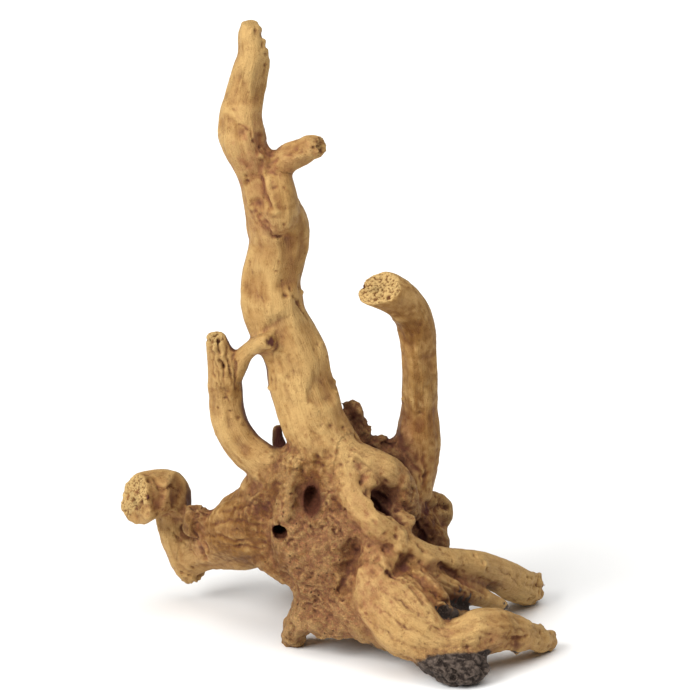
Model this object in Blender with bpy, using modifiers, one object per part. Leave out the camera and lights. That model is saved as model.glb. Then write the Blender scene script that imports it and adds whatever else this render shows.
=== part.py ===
"""Coffee root driftwood, one grown piece of wood about 0.39 m tall.

The wood is a skeleton of limbs. Each limb is a tube along a smooth curve whose
thickness changes from station to station. The tubes are fused into one skin, the
skin gets its flutes, knobs, furrows, hollows and pits, then the holes are cut and
the feet are sawn level so that the piece stands on its own.
"""

import math

import bmesh
import bpy
import numpy as np
from mathutils import Matrix, Vector, noise
from mathutils.bvhtree import BVHTree
from mathutils.geometry import interpolate_bezier

MM = 0.001

# The wood is described as it is seen from the front, from a little above
VIEW_TILT = math.radians(20)
FRONT_REACH = 85
MIDDLE_X = -3.9
MIDDLE_Y = -2.6

# Skin and relief, in millimetres, with the flutes and shifts in noise units
SKIN_VOXEL = 1.9
SKIN_SMOOTHING = 6
TRIANGLE_BUDGET = 11000
GRAIN_BLEND = 3.0
FLUTE_DEPTH = 1.5
FLUTES_AROUND = 1.5
FLUTE_LENGTH = 55.0
FINE_FLUTES = 2.2
THICK_LIMB = 14.0
LIMB_APART = 7.3
FIRST_SIDE = (0.31, 0.83, 0.47)
LUMP_DEPTH = 1.0
LUMP_SIZE = 26.0
KNOB_DEPTH = 2.0
KNOB_SIZE = 12.0
KNOB_SHIFT = (3.0, 1.0, 5.0)
VIEW_CLEARANCE = 1.5

# Holes, in millimetres
DRILL_RADIUS = 4.2
DRILL_LENGTH = 46
DRILL_SIDES = 24
DRILL_START = (-39, 88.5, -46)

# Each limb: how knobbly its skin is, how fluted, and its stations as
# (across, up, depth, radius) in millimetres, seen from the front
LIMBS = {
    "trunk": (0.1, 0.9, [
        (-57, 397, 14, 4.5), (-56, 391, 14, 7.5), (-54, 376, 12, 10.5), (-56.5, 364, 10, 12),
        (-59.5, 352, 8, 12.3), (-62, 340, 4, 13), (-61, 328, 0, 14.5), (-56, 316, 0, 13.2),
        (-49.5, 304, 2, 14.3), (-46, 292, 4, 16), (-41, 280, 6, 18.5), (-39, 268, 8, 18),
        (-41.5, 256, 8, 18), (-44.5, 244, 6, 18.8), (-44, 232, 4, 19.5), (-41, 220, 2, 19),
        (-35, 208, 2, 18.8), (-29.5, 196, 0, 18.8), (-27.5, 184, -2, 19.3),
        (-23.5, 172, -4, 20), (-20, 160, -6, 19.8), (-14, 148, -8, 20.5), (-10, 133, -8, 25),
        (-8, 115, -5, 28),
    ]),
    "tongue": (0.1, 0.9, [
        (-43, 314, 0, 8.5), (-41, 305, -4, 10), (-39, 295, -7, 11), (-38, 284, -7, 11),
        (-39, 277, -5, 9),
    ]),
    "side stub": (0.2, 1.0, [
        (-50, 309, 0, 9), (-41, 312, -2, 9), (-33, 316.5, -4, 8.8), (-25, 320, -6, 8.2),
        (-19, 322.5, -8, 7.7), (-12, 324, -10, 6.8),
    ]),
    "left branch": (0.15, 1.6, [
        (-42, 130, -6, 13), (-50, 136, -4, 12), (-59, 143, 0, 11.5), (-67, 154, 2, 11),
        (-71, 166, 3, 10.5), (-72.5, 181, 3, 10.8), (-73.5, 192, 1, 10), (-75.5, 201, -1, 8),
        (-77.5, 208, -3, 6.3), (-78, 212, -4, 5.2),
    ]),
    "branchlet": (0.1, 0.8, [
        (-71, 182, 2, 7), (-64.5, 193, -1, 6.3), (-58, 201.5, -5, 5.2), (-52, 205, -10, 4.9),
        (-47, 207, -14, 5), (-43, 208, -17, 5.5),
    ]),
    "twig": (0.1, 0.6, [(-41, 157, 14, 3.8), (-40.5, 148, 14, 4.4), (-37, 136, 10, 6)]),
    "elbow root": (0.2, 1.7, [
        (-27, 102, -8, 24), (-44, 99, 2, 26), (-57, 95.5, 14, 24.5), (-68, 89.5, 28, 20),
        (-78, 85, 40, 17), (-87, 81, 48, 14.5), (-93, 76, 54, 12.5),
    ]),
    "elbow upright": (0.15, 1.3, [
        (-105, 116, 46, 12), (-105, 106, 50, 12), (-103, 94, 53, 11.2), (-100, 82, 55, 10.5),
        (-96, 71, 57, 10), (-93, 65, 58, 9), (-91, 61, 58, 7.5),
    ]),
    "elbow knob": (0.2, 1.0, [
        (-104, 109, 50, 11.5), (-107, 117, 46, 12.5), (-114, 116, 40, 14), (-121, 113, 34, 15),
        (-129, 109, 26, 15.5),
    ]),
    "elbow stub": (0.5, 0.8, [(-90, 93, 42, 8), (-88, 99, 38, 7), (-86, 105, 34, 5.5)]),
    "right hook": (0.12, 1.0, [
        (39, 112, 12, 14), (40, 124, 16, 14), (43, 137, 18, 14.5), (44, 149, 18, 14.5),
        (44.5, 163, 18, 12), (44.5, 178, 16, 11.2), (45, 193, 14, 10.6), (44.5, 205, 12, 10.8),
        (42, 218, 8, 11.5), (35, 229.5, 2, 11.5), (27, 235.5, -5, 11.5), (14, 239.5, -15, 10.8),
    ]),
    "flange": (1.2, 0.3, [
        (1, 170, 10, 4), (4, 167, 11, 6), (8, 157, 12, 7), (13, 147, 13, 7), (23, 143, 14, 7.5),
        (32, 138, 14, 8),
    ]),
    "upper ridge": (0.5, 0.9, [
        (-12, 154, -8, 14), (0, 141, -16, 11.5), (12, 135, -20, 9.5), (24, 131, -20, 9),
        (33, 123, -17, 8.5), (38, 112, -12, 8),
    ]),
    "cave tip": (0.4, 0.5, [(34, 104, -4, 5), (38, 100, -14, 4.5), (40, 98, -18, 3.5)]),
    "right root": (0.4, 1.1, [
        (-4, 142, -16, 13), (2, 125, -27, 11), (6, 112, -36, 10.5), (15, 102, -41, 9.5),
        (27, 96, -41, 9), (38, 89, -38, 10), (49, 82, -30, 11), (60, 77, -20, 10.2),
        (72, 72.5, -8, 10), (84, 69, 8, 10.3), (96, 64, 24, 10.8), (106, 59, 40, 11.5),
        (114, 56, 53, 10.2), (118, 55, 57, 8),
    ]),
    "middle strand": (0.9, 0.8, [
        (-12, 135, -10, 18), (-9, 115, -18, 21), (-7, 91, -24, 23), (-3, 67, -28, 22),
        (0, 50, -32, 18), (1, 42, -34, 14),
    ]),
    "left shoulder": (0.4, 1.0, [
        (-27, 139, -8, 9), (-42, 132, -8, 9), (-52, 121, -2, 9), (-62, 110, 10, 8.5),
        (-72, 101, 24, 8),
    ]),
    "left apron": (0.6, 0.8, [
        (-56, 80, 2, 8), (-49, 78, -8, 9), (-40, 73, -18, 10), (-32, 64, -22, 9),
    ]),
    "hole rim": (0.5, 0.7, [
        (-28, 138, -18, 8), (-32, 125, -22, 8), (-35, 112, -26, 8), (-35, 100, -28, 9),
        (-32, 84, -30, 11),
    ]),
    "left strand": (0.8, 0.8, [
        (-27, 130, -10, 13), (-30, 112, -12, 15), (-27, 92, -22, 19), (-21, 72, -27, 17),
        (-19, 56, -28, 14), (-25, 43, -27, 9.5), (-29, 34, -21, 8.2), (-31, 28, -16, 7.8),
        (-31, 21, -12, 7.2),
    ]),
    "front skirt": (0.8, 0.8, [
        (-26, 42, -28, 8.5), (-14, 38.5, -34, 10.5), (0, 39, -38, 11.5), (14, 39, -42, 12.5),
        (28, 34, -48, 14),
    ]),
    "front root": (0.2, 1.5, [
        (14, 78, -36, 13), (20, 63, -46, 19), (33, 45, -55, 22.5), (45, 34, -64, 20.5),
        (60, 26, -70, 14), (72, 29, -68, 14.5), (82, 33, -62, 15.5), (96, 33, -52, 13),
        (108, 30, -42, 10.5), (117, 28, -30, 9), (124, 26, -21, 7.5),
    ]),
    "dark base": (0.9, 0.4, [
        (48, 20, -72, 9), (57, 15, -78, 11), (67, 12, -80, 12), (76, 13, -78, 11),
        (84, 17, -74, 8),
    ]),
    "middle root": (0.3, 1.0, [
        (46, 66, -36, 8), (57, 59, -28, 8), (68, 54, -19, 7.5), (84, 52, -4, 5.5),
        (93, 48, 4, 5), (98, 47, 8, 4.5),
    ]),
    "root web": (0.3, 0.6, [(56, 52, -50, 8), (66, 48, -40, 7), (75, 49, -28, 5)]),
    "small cut root": (0.4, 1.0, [
        (30, 70, -42, 9), (42, 65, -50, 8), (51, 56, -57, 7.5), (59, 43, -63, 6.8),
    ]),
    "rear knob": (1.0, 0.5, [
        (43, 105, 18, 10), (55, 110, 26, 6.5), (60, 102, 28, 5.5), (50, 97, 22, 9),
        (56, 90, 20, 6), (60, 84, 18, 5),
    ]),
    "heart": (0.8, 0.6, [
        (-9, 130, 4, 22), (-3, 100, 4, 32), (6, 70, -2, 34), (15, 52, -8, 26),
    ]),
    "right shoulder": (0.9, 0.6, [(8, 92, -8, 22), (28, 80, -14, 20), (42, 72, -18, 14)]),
    "back left root": (0.5, 1.2, [
        (-10, 99, 8, 30), (-14, 88, 35, 22), (-17, 73, 58, 16), (-18, 64, 74, 12), (-18, 60, 80, 9),
    ]),
    "back right root": (0.5, 1.2, [
        (10, 98, 10, 30), (28, 86, 35, 20), (40, 71, 58, 14), (46, 62, 72, 11), (48, 58, 78, 8),
    ]),
}

# Strokes on the front skin: points (across, up), half width and lift, in
# millimetres; a negative lift cuts a furrow or a hollow
STROKES = [
    ([(-56, 291), (-53, 284), (-51, 279), (-47, 274), (-43, 269), (-33, 270)], 1.9, -3.6),
    ([(-50, 315), (-49, 304), (-48, 296), (-45, 288)], 2.2, -2.4),
    ([(-46, 309), (-44, 300), (-41, 292), (-40, 284)], 2.4, 0.9),
    ([(-57, 331), (-50, 326), (-45, 321)], 4.0, -1.5),
    ([(-44, 312), (-39, 315), (-31, 318)], 1.6, -1.5),
    ([(-81, 206), (-80, 190), (-79, 172)], 1.6, -2.0),
    ([(-76, 206), (-75, 190), (-73, 168)], 1.6, -2.4),
    ([(-70, 192), (-69, 180), (-67, 166)], 1.6, -2.0),
    ([(-116, 124), (-111, 117), (-105, 119), (-100, 117)], 1.8, -1.8),
    ([(-91, 91), (-88, 81), (-85, 75)], 2.6, -3.0),
    ([(-84, 97), (-65, 100), (-50, 97)], 2.4, -2.6),
    ([(-84, 90), (-66, 91), (-47, 87)], 2.4, -2.8),
    ([(-80, 82), (-63, 81), (-48, 77)], 2.4, -2.4),
    ([(-36, 125), (-44, 117), (-50, 108), (-49, 102)], 5.0, -4.0),
    ([(5, 86), (7, 78), (1, 70), (-3, 61), (-4, 53)], 4.0, -3.4),
    ([(37, 79), (32, 73), (31, 68)], 4.0, -5.0),
    ([(52, 75), (57, 71)], 2.2, -3.0),
    ([(0, 139), (14, 134), (28, 128)], 3.5, 1.6),
    ([(2, 120), (8, 106), (20, 98), (34, 92)], 3.5, 1.6),
    ([(18, 49), (33, 37), (51, 28), (69, 28)], 2.4, -1.5),
    ([(21, 58), (36, 49), (51, 39)], 2.4, -1.5),
    ([(9, 43), (27, 31), (45, 22)], 2.4, -1.5),
    ([(74, 40), (90, 37), (108, 34)], 2.2, -1.6),
]

# Pits on the front skin: (across, up, radius, depth) in millimetres
PITS = [
    (-59, 302, 2.2, 2.4), (-26, 236, 3.4, 3.4), (-20, 125, 6.0, 4.0), (53, 86, 3.0, 3.0),
    (66, 9, 5.0, 4.5), (-5, 110, 3.0, 2.4), (18, 78, 3.4, 2.8), (-30, 78, 3.0, 2.4),
    (-12, 62, 3.4, 2.6), (16, 68, 3.0, 2.4), (-10, 84, 3.0, 2.2), (-43, 88, 3.0, 2.2),
]

# Rounded hollows: the middle as it is seen from the front, the lean in degrees
# and the half sizes in millimetres: the oval hole, and the cave under the upper ridge
HOLLOWS = [
    ((-20.5, 112, -38), 6, (5.6, 22, 9.5)),
    ((22, 111, -30), 28, (10.5, 15, 7.0)),
]

# Sawn ends: a point on the cut, as it is seen from the front, the direction it
# faces, and the side of the cutting block, in millimetres
SAWN_ENDS = [
    ((21, 240, -11), (-0.25, -0.60, 0.76), 40),
    ((-128, 112, 28), (-0.82, -0.42, 0.35), 44),
    ((-78, 212, -3), (-0.15, -0.55, 0.82), 22),
]


def clear_scene():
    """Remove every object, so that the script can be run again."""
    for item in list(bpy.data.objects):
        bpy.data.objects.remove(item, do_unlink=True)


def collection(name):
    """A collection linked to the scene."""
    made = bpy.data.collections.new(name)
    bpy.context.scene.collection.children.link(made)
    return made


def seen_point(across, up, depth):
    """World position, in metres, of a point given as it is seen from the front."""
    height = (up - (depth + FRONT_REACH) * math.sin(VIEW_TILT)) / math.cos(VIEW_TILT)
    return Vector((across - MIDDLE_X, depth - MIDDLE_Y, height)) * MM


def limb_curve(stations):
    """A tube along the stations, as thick at each as its radius says."""
    data = bpy.data.curves.new("limb", "CURVE")
    data.dimensions = "3D"
    data.bevel_depth = MM
    data.bevel_resolution = 5
    data.resolution_u = 6
    data.use_fill_caps = True
    spline = data.splines.new("BEZIER")
    spline.radius_interpolation = "CARDINAL"
    spline.bezier_points.add(len(stations) - 1)
    for point, (across, up, depth, radius) in zip(spline.bezier_points, stations):
        point.co = seen_point(across, up, depth)
        point.radius = radius
        point.handle_left_type = "AUTO"
        point.handle_right_type = "AUTO"
    return bpy.data.objects.new("limb", data)


def mesh_of(item):
    """The evaluated mesh of an object, with its caps welded on."""
    graph = bpy.context.evaluated_depsgraph_get()
    mesh = bpy.data.meshes.new_from_object(item.evaluated_get(graph))
    shape = bmesh.new()
    shape.from_mesh(mesh)
    bmesh.ops.remove_doubles(shape, verts=shape.verts, dist=0.00001)
    shape.to_mesh(mesh)
    shape.free()
    return mesh


def bake(item):
    """Replace an object's mesh with what its modifiers make of it."""
    graph = bpy.context.evaluated_depsgraph_get()
    mesh = bpy.data.meshes.new_from_object(item.evaluated_get(graph))
    item.modifiers.clear()
    item.data = mesh


def fused_limbs(place):
    """All limbs as one skin without inner walls."""
    shape = bmesh.new()
    for knobbly, fluted, stations in LIMBS.values():
        tube = limb_curve(stations)
        place.objects.link(tube)
        bpy.context.view_layer.update()
        shape.from_mesh(mesh_of(tube))
        bpy.data.objects.remove(tube, do_unlink=True)
    mesh = bpy.data.meshes.new("coffee_root")
    shape.to_mesh(mesh)
    shape.free()
    wood = bpy.data.objects.new("coffee_root", mesh)
    place.objects.link(wood)
    skin = wood.modifiers.new("skin", "REMESH")
    skin.mode = "VOXEL"
    skin.voxel_size = SKIN_VOXEL * MM
    soft = wood.modifiers.new("soft", "SMOOTH")
    soft.factor = 0.5
    soft.iterations = SKIN_SMOOTHING
    bpy.context.view_layer.update()
    bake(wood)
    return wood


def centreline(stations, steps=4):
    """Points and radii on a limb's smooth centreline, in metres."""
    points = [seen_point(*row[:3]) for row in stations]
    radii = [row[3] * MM for row in stations]
    line, widths = [], []
    for i in range(len(points) - 1):
        before = points[max(i - 1, 0)]
        after = points[min(i + 2, len(points) - 1)]
        leave = points[i] + (points[i + 1] - before) / 6
        arrive = points[i + 1] - (after - points[i]) / 6
        line += interpolate_bezier(points[i], leave, arrive, points[i + 1], steps + 1)[:steps]
        widths += [radii[i] + (radii[i + 1] - radii[i]) * k / steps for k in range(steps)]
    line.append(points[-1])
    widths.append(radii[-1])
    return np.array([tuple(point) for point in line]), np.array(widths)


def limb_frames(line):
    """Tangent and two side directions at each centreline point, without twist."""
    tangents = np.gradient(line, axis=0)
    tangents /= np.linalg.norm(tangents, axis=1)[:, None]
    side = np.cross(tangents[0], FIRST_SIDE)
    sides = []
    for tangent in tangents:
        side = side - tangent * side.dot(tangent)
        side = side / np.linalg.norm(side)
        sides.append(side)
    sides = np.array(sides)
    return tangents, sides, np.cross(tangents, sides)


def limb_grain(positions, order, fluted, stations):
    """How far each skin point is from one limb's surface, and the limb's flutes there."""
    line, widths = centreline(stations)
    tangents, sides, others = limb_frames(line)
    steps = np.linalg.norm(np.diff(line, axis=0), axis=1)
    along = np.concatenate([[0.0], np.cumsum(steps)])
    reach = np.linalg.norm(positions[:, None, :] - line[None, :, :], axis=2)
    nearest = np.argmin(reach - widths[None, :], axis=1)
    gap = reach[np.arange(len(positions)), nearest] - widths[nearest]
    offset = positions - line[nearest]
    turn = np.arctan2((offset * others[nearest]).sum(axis=1), (offset * sides[nearest]).sum(axis=1))
    run = along[nearest] + (offset * tangents[nearest]).sum(axis=1)
    lift = np.zeros(len(positions))
    for i in np.nonzero(gap < 8 * GRAIN_BLEND * MM)[0]:
        spot = Vector((FLUTES_AROUND * math.cos(turn[i]), FLUTES_AROUND * math.sin(turn[i]),
                       run[i] / (FLUTE_LENGTH * MM)))
        spot.y += LIMB_APART * order
        lift[i] = noise.noise(spot) + 0.5 * noise.noise(spot * FINE_FLUTES)
    thickness = np.clip(widths[nearest] / (THICK_LIMB * MM), 0.35, 1.2)
    return gap, lift * fluted * thickness


def grain_relief(positions):
    """Flutes of the limbs near each skin point, and how knobbly the skin is there."""
    found = [limb_grain(positions, order, fluted, stations)
             for order, (knobbly, fluted, stations) in enumerate(LIMBS.values())]
    gaps = np.array([gap for gap, flutes in found])
    weights = np.exp(-(gaps - gaps.min(axis=0)) / (GRAIN_BLEND * MM))
    weights /= weights.sum(axis=0)
    flutes = (weights * np.array([flutes for gap, flutes in found])).sum(axis=0)
    knobby = weights.T @ np.array([limb[0] for limb in LIMBS.values()])
    return flutes, knobby


def normals_of(mesh):
    """Vertex normals as an array."""
    flat = np.empty(len(mesh.vertices) * 3)
    mesh.vertex_normals.foreach_get("vector", flat)
    return flat.reshape(-1, 3)


def positions_of(mesh):
    """Vertex positions as an array."""
    flat = np.empty(len(mesh.vertices) * 3)
    mesh.vertices.foreach_get("co", flat)
    return flat.reshape(-1, 3)


def move_out(mesh, lift):
    """Move every vertex along its normal by its lift, in metres."""
    moved = positions_of(mesh) + normals_of(mesh) * lift[:, None]
    mesh.vertices.foreach_set("co", moved.ravel())
    mesh.update()


def seen_from_front(positions, normals, mesh):
    """Which vertices the front view sees, and their across and up, in millimetres."""
    toward = Vector((0, -math.cos(VIEW_TILT), math.sin(VIEW_TILT)))
    tree = BVHTree.FromPolygons([tuple(p) for p in positions],
                                [tuple(face.vertices) for face in mesh.polygons])
    facing = normals @ np.array(toward)
    seen = np.zeros(len(positions), bool)
    for i in np.nonzero(facing > 0.05)[0]:
        start = Vector(positions[i]) + toward * (VIEW_CLEARANCE * MM)
        seen[i] = tree.ray_cast(start, toward)[0] is None
    across = positions[:, 0] / MM + MIDDLE_X
    depth = positions[:, 1] / MM + MIDDLE_Y
    up = positions[:, 2] / MM * math.cos(VIEW_TILT) + (depth + FRONT_REACH) * math.sin(VIEW_TILT)
    return seen, np.clip(facing * 2, 0, 1), np.stack([across, up], axis=1)


def stroke_lift(spots, points, width, lift):
    """Lift of each spot by a stroke drawn through points, fading over its half width."""
    best = np.full(len(spots), 1e9)
    for a, b in zip(np.array(points[:-1], float), np.array(points[1:], float)):
        run = b - a
        t = np.clip(((spots - a) @ run) / run.dot(run), 0, 1)
        best = np.minimum(best, np.linalg.norm(spots - a - t[:, None] * run, axis=1))
    return lift * np.exp(-(best / width) ** 2)


def carve(wood):
    """Flutes, lumps and knobs all over, then the furrows, hollows and pits of the front."""
    mesh = wood.data
    positions = positions_of(mesh)
    flutes, knobby = grain_relief(positions)
    lift = flutes * FLUTE_DEPTH
    for i, spot in enumerate(positions):
        lift[i] += LUMP_DEPTH * noise.noise(spot / (LUMP_SIZE * MM))
        knob = 0.5 - 2.0 * abs(noise.noise(spot / (KNOB_SIZE * MM) + np.array(KNOB_SHIFT)))
        lift[i] += KNOB_DEPTH * knobby[i] * knob
    move_out(mesh, lift * MM)
    positions, normals = positions_of(mesh), normals_of(mesh)
    seen, facing, spots = seen_from_front(positions, normals, mesh)
    lift = np.zeros(len(positions))
    for points, width, height in STROKES:
        lift += stroke_lift(spots, points, width, height)
    for across, up, radius, depth in PITS:
        reach = np.linalg.norm(spots - np.array((across, up)), axis=1)
        lift -= depth * np.exp(-(reach / radius) ** 2)
    move_out(mesh, lift * facing * seen * MM)


def thin_out(wood, budget):
    """Bring the skin down to the triangle budget."""
    fewer = wood.modifiers.new("fewer", "DECIMATE")
    triangles = sum(len(face.vertices) - 2 for face in wood.data.polygons)
    fewer.ratio = budget / triangles
    bpy.context.view_layer.update()
    bake(wood)


def cut(wood, cutter, place):
    """Take the cutter's shape out of the wood."""
    place.objects.link(cutter)
    cutter.hide_render = True
    cutter.display_type = "WIRE"
    hole = wood.modifiers.new("hole", "BOOLEAN")
    hole.operation = "DIFFERENCE"
    hole.solver = "EXACT"
    hole.object = cutter
    bpy.context.view_layer.update()
    bake(wood)
    bpy.data.objects.remove(cutter, do_unlink=True)


def cutter_object(name, build, placed):
    """A cutter whose shape one bmesh operator makes, moved to its place."""
    shape = bmesh.new()
    build(shape)
    bmesh.ops.transform(shape, matrix=placed, verts=shape.verts)
    mesh = bpy.data.meshes.new(name)
    shape.to_mesh(mesh)
    shape.free()
    return bpy.data.objects.new(name, mesh)


def saw_cutter(spot, facing, side):
    """A block whose one face lies on the sawn end."""
    way = Vector(facing).normalized()
    placed = Matrix.Translation(seen_point(*spot) + way * (side / 2 * MM))
    turned = placed @ way.to_track_quat("Z", "Y").to_matrix().to_4x4()
    return cutter_object("saw", lambda shape: bmesh.ops.create_cube(shape, size=side * MM), turned)


def drill_cutter():
    """The round drilled hole, which runs straight in from the front."""
    start = seen_point(*DRILL_START)
    aim = Matrix.Translation(start + Vector((0, DRILL_LENGTH * MM / 2, 0)))
    placed = aim @ Matrix.Rotation(math.radians(90), 4, "X")
    return cutter_object("drill", lambda shape: bmesh.ops.create_cone(
        shape, cap_ends=True, segments=DRILL_SIDES, radius1=DRILL_RADIUS * MM,
        radius2=DRILL_RADIUS * MM, depth=DRILL_LENGTH * MM), placed)


def hollow_cutter(spot, lean, half_sizes):
    """A rounded hollow: its middle as seen from the front, its lean and its half sizes."""
    turned = Matrix.Translation(seen_point(*spot)) @ Matrix.Rotation(math.radians(lean), 4, "Y")
    placed = turned @ Matrix.Diagonal((*half_sizes, 1.0))
    return cutter_object("hollow", lambda shape: bmesh.ops.create_uvsphere(
        shape, u_segments=20, v_segments=14, radius=MM), placed)


def ground_cutter():
    """Everything below the ground, which levels the feet."""
    placed = Matrix.Translation((0, 0, -0.1)) @ Matrix.Diagonal((1.0, 1.0, 0.2, 1.0))
    return cutter_object("ground", lambda shape: bmesh.ops.create_cube(shape, size=1.0), placed)


def wood_material():
    """Dry yellow-brown wood."""
    material = bpy.data.materials.new("coffee_root_wood")
    material.use_nodes = True
    shader = material.node_tree.nodes["Principled BSDF"]
    shader.inputs["Base Color"].default_value = (0.50, 0.31, 0.13, 1.0)
    shader.inputs["Roughness"].default_value = 0.62
    shader.inputs["Metallic"].default_value = 0.0
    return material


def main():
    clear_scene()
    place = collection("coffee root driftwood")
    cutters = collection("cutters")
    wood = fused_limbs(place)
    carve(wood)
    thin_out(wood, TRIANGLE_BUDGET)
    for hollow in HOLLOWS:
        cut(wood, hollow_cutter(*hollow), cutters)
    for end in SAWN_ENDS:
        cut(wood, saw_cutter(*end), cutters)
    cut(wood, drill_cutter(), cutters)
    cut(wood, ground_cutter(), cutters)
    wood.data.materials.clear()
    wood.data.materials.append(wood_material())
    print("triangles", sum(len(face.vertices) - 2 for face in wood.data.polygons))


main()
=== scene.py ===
# %% [markdown]
# # A piece of coffee root driftwood
# When an old coffee bush is cleared, its root stock is dug up, cut to length and cleaned
# down to the hard yellow-brown wood. What is left is a knobbly mass where trunk and roots
# meet, with smooth limbs running out of it. We build it as a sculptor would: a skeleton of
# limbs first, then one skin over all of them, then saw cuts, grain, knots and pits, and
# last the colours.

import math

import bmesh
import bpy
import numpy as np
from mathutils import Matrix, Vector, kdtree, noise
from mathutils.bvhtree import BVHTree
from mathutils.geometry import interpolate_bezier


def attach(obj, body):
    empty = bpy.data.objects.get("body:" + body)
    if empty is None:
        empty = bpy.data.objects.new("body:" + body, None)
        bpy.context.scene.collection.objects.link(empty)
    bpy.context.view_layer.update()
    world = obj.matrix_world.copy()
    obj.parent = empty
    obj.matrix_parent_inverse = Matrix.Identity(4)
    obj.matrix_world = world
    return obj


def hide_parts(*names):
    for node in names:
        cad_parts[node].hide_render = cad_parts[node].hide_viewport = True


MM = 0.001
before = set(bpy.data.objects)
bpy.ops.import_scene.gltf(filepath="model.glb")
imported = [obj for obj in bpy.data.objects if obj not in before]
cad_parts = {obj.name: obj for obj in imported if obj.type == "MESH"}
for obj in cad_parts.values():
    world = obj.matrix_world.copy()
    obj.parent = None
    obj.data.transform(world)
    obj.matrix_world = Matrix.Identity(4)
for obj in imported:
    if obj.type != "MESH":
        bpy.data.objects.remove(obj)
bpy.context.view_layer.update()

# %% [markdown]
# ## Where things are
# The wood was measured on a picture taken from the front and a little above. So it is
# easiest to say where something is as the picture shows it: how far across, how far up,
# and how deep it lies. One function turns that into the model's own axes, and a second
# one reads a place in the picture's pixels, because small marks are found that way.

# %% From the front view to the model
VIEW_TILT = math.radians(20)
FRONT_REACH = 85
MIDDLE_X = -3.9
MIDDLE_Y = -2.6
PICTURE = 700
PIXEL = 0.6
PICTURE_LEFT = -207
PICTURE_TOP = 412
TOWARD_CAMERA = Vector((0, -math.cos(VIEW_TILT), math.sin(VIEW_TILT)))


def seen_point(across, up, depth):
    """Place in the model, in metres, of a point given as the front view shows it, in millimetres."""
    height = (up - (depth + FRONT_REACH) * math.sin(VIEW_TILT)) / math.cos(VIEW_TILT)
    return Vector((across - MIDDLE_X, depth - MIDDLE_Y, height)) * MM


def picture_point(x, y, depth=0):
    """The same, for a point at pixel (x, y) of the picture."""
    return seen_point(PICTURE_LEFT + PIXEL * x, PICTURE_TOP - PIXEL * y, depth)


middle = picture_point(PICTURE / 2, PICTURE / 2)
print("the middle of the picture is at", tuple(round(value, 3) for value in middle))

# %% [markdown]
# ## The skeleton
# Every limb is a smooth line with a thickness at each station. The numbers are read off
# the picture, like the marks that a carver makes on a block. Each limb also says
# how knobbly its skin is and how strongly it is fluted, because the mass in the middle
# is all knobs, while the branches have long flutes.

# %% Limbs of the trunk and the branches
TRUNK_LIMBS = {
    "trunk": (0.1, 0.9, [
        (-56, 397, 14, 6.4), (-55.5, 391, 14, 8), (-54, 376, 12, 10.5), (-56.5, 364, 10, 12),
        (-59.5, 352, 8, 12.3), (-62, 340, 4, 13), (-61, 328, 0, 14.5), (-56, 316, 0, 13.2),
        (-49.5, 304, 2, 14.3), (-46, 292, 4, 16), (-41, 280, 6, 18.5), (-39, 268, 8, 18),
        (-41.5, 256, 8, 18), (-44.5, 244, 6, 18.8), (-44, 232, 4, 19.5), (-41, 220, 2, 19),
        (-35, 208, 2, 18.8), (-29.5, 196, 0, 18.8), (-27.5, 184, -2, 19.3),
        (-23.5, 172, -4, 20), (-20, 160, -6, 19.8), (-14, 148, -8, 20.5), (-10, 133, -8, 25),
        (-8, 115, -5, 28),
    ]),
    "tongue": (0.1, 0.9, [
        (-43, 314, 0, 8.5), (-41, 305, -4, 10), (-39, 295, -7, 11), (-38, 284, -7, 11),
        (-39, 277, -5, 9),
    ]),
    "side stub": (0.2, 1.0, [
        (-50, 309, 0, 9), (-41, 312, -2, 9), (-33, 316.5, -4, 8.8), (-25, 320, -6, 8.2),
        (-19, 322.5, -8, 7.7), (-12, 324, -10, 6.8),
    ]),
    "left branch": (0.15, 1.6, [
        (-42, 130, -6, 13), (-50, 136, -4, 12), (-59, 143, 0, 11.5), (-67, 154, 2, 11),
        (-71, 166, 3, 10.5), (-72.5, 181, 3, 10.8), (-73.5, 192, 1, 10), (-75.5, 201, -1, 8),
        (-77.5, 208, -3, 6.3), (-78, 212, -4, 5.2),
    ]),
    "branchlet": (0.1, 0.8, [
        (-71, 182, 2, 7), (-64.5, 193, -1, 6.3), (-58, 201.5, -6, 5.2), (-52, 205, -13, 4.9),
        (-47.5, 206.8, -19, 5), (-44.5, 207.3, -22.5, 5.3),
    ]),
    "twig": (0.1, 0.6, [(-41, 157, 14, 3.8), (-40.5, 148, 14, 4.4), (-37, 136, 10, 6)]),
    "elbow root": (0.2, 1.7, [
        (-27, 102, -8, 24), (-44, 99, 2, 26), (-57, 95.5, 14, 24.5), (-68, 89.5, 28, 20),
        (-78, 85, 40, 17), (-87, 81, 48, 14.5), (-93, 76, 54, 12.5),
    ]),
    "elbow upright": (0.15, 1.3, [
        (-105, 116, 46, 12), (-105, 106, 50, 12), (-103, 94, 53, 11.2), (-100, 82, 55, 10.5),
        (-96, 71, 57, 10), (-93, 65, 58, 9), (-91, 61, 58, 7.5),
    ]),
    "elbow knob": (0.2, 1.0, [
        (-104, 109, 50, 11.5), (-107, 117, 46, 12.5), (-114, 116, 40, 14), (-121, 113, 34, 15),
        (-129, 109, 26, 15.5),
    ]),
    "elbow stub": (0.6, 0.8, [(-91, 92, 35, 8.5), (-90, 99, 31, 8), (-88.5, 105, 28, 7)]),
    "right hook": (0.12, 1.0, [
        (39, 112, 12, 14), (40, 124, 16, 14), (43, 137, 18, 14.5), (44, 149, 18, 14.5),
        (44.5, 163, 18, 12), (44.5, 178, 16, 11.2), (45, 193, 14, 10.6), (44.5, 205, 12, 10.8),
        (42, 218, 8, 11.5), (35, 229.5, 2, 11.5), (27, 235.5, -5, 11.5), (14, 239.5, -15, 10.8),
    ]),
    "flange": (1.2, 0.3, [
        (1, 170, 10, 4), (4, 167, 11, 6), (8, 157, 12, 7), (13, 147, 13, 7), (23, 143, 14, 7.5),
        (32, 138, 14, 8),
    ]),
}
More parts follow.
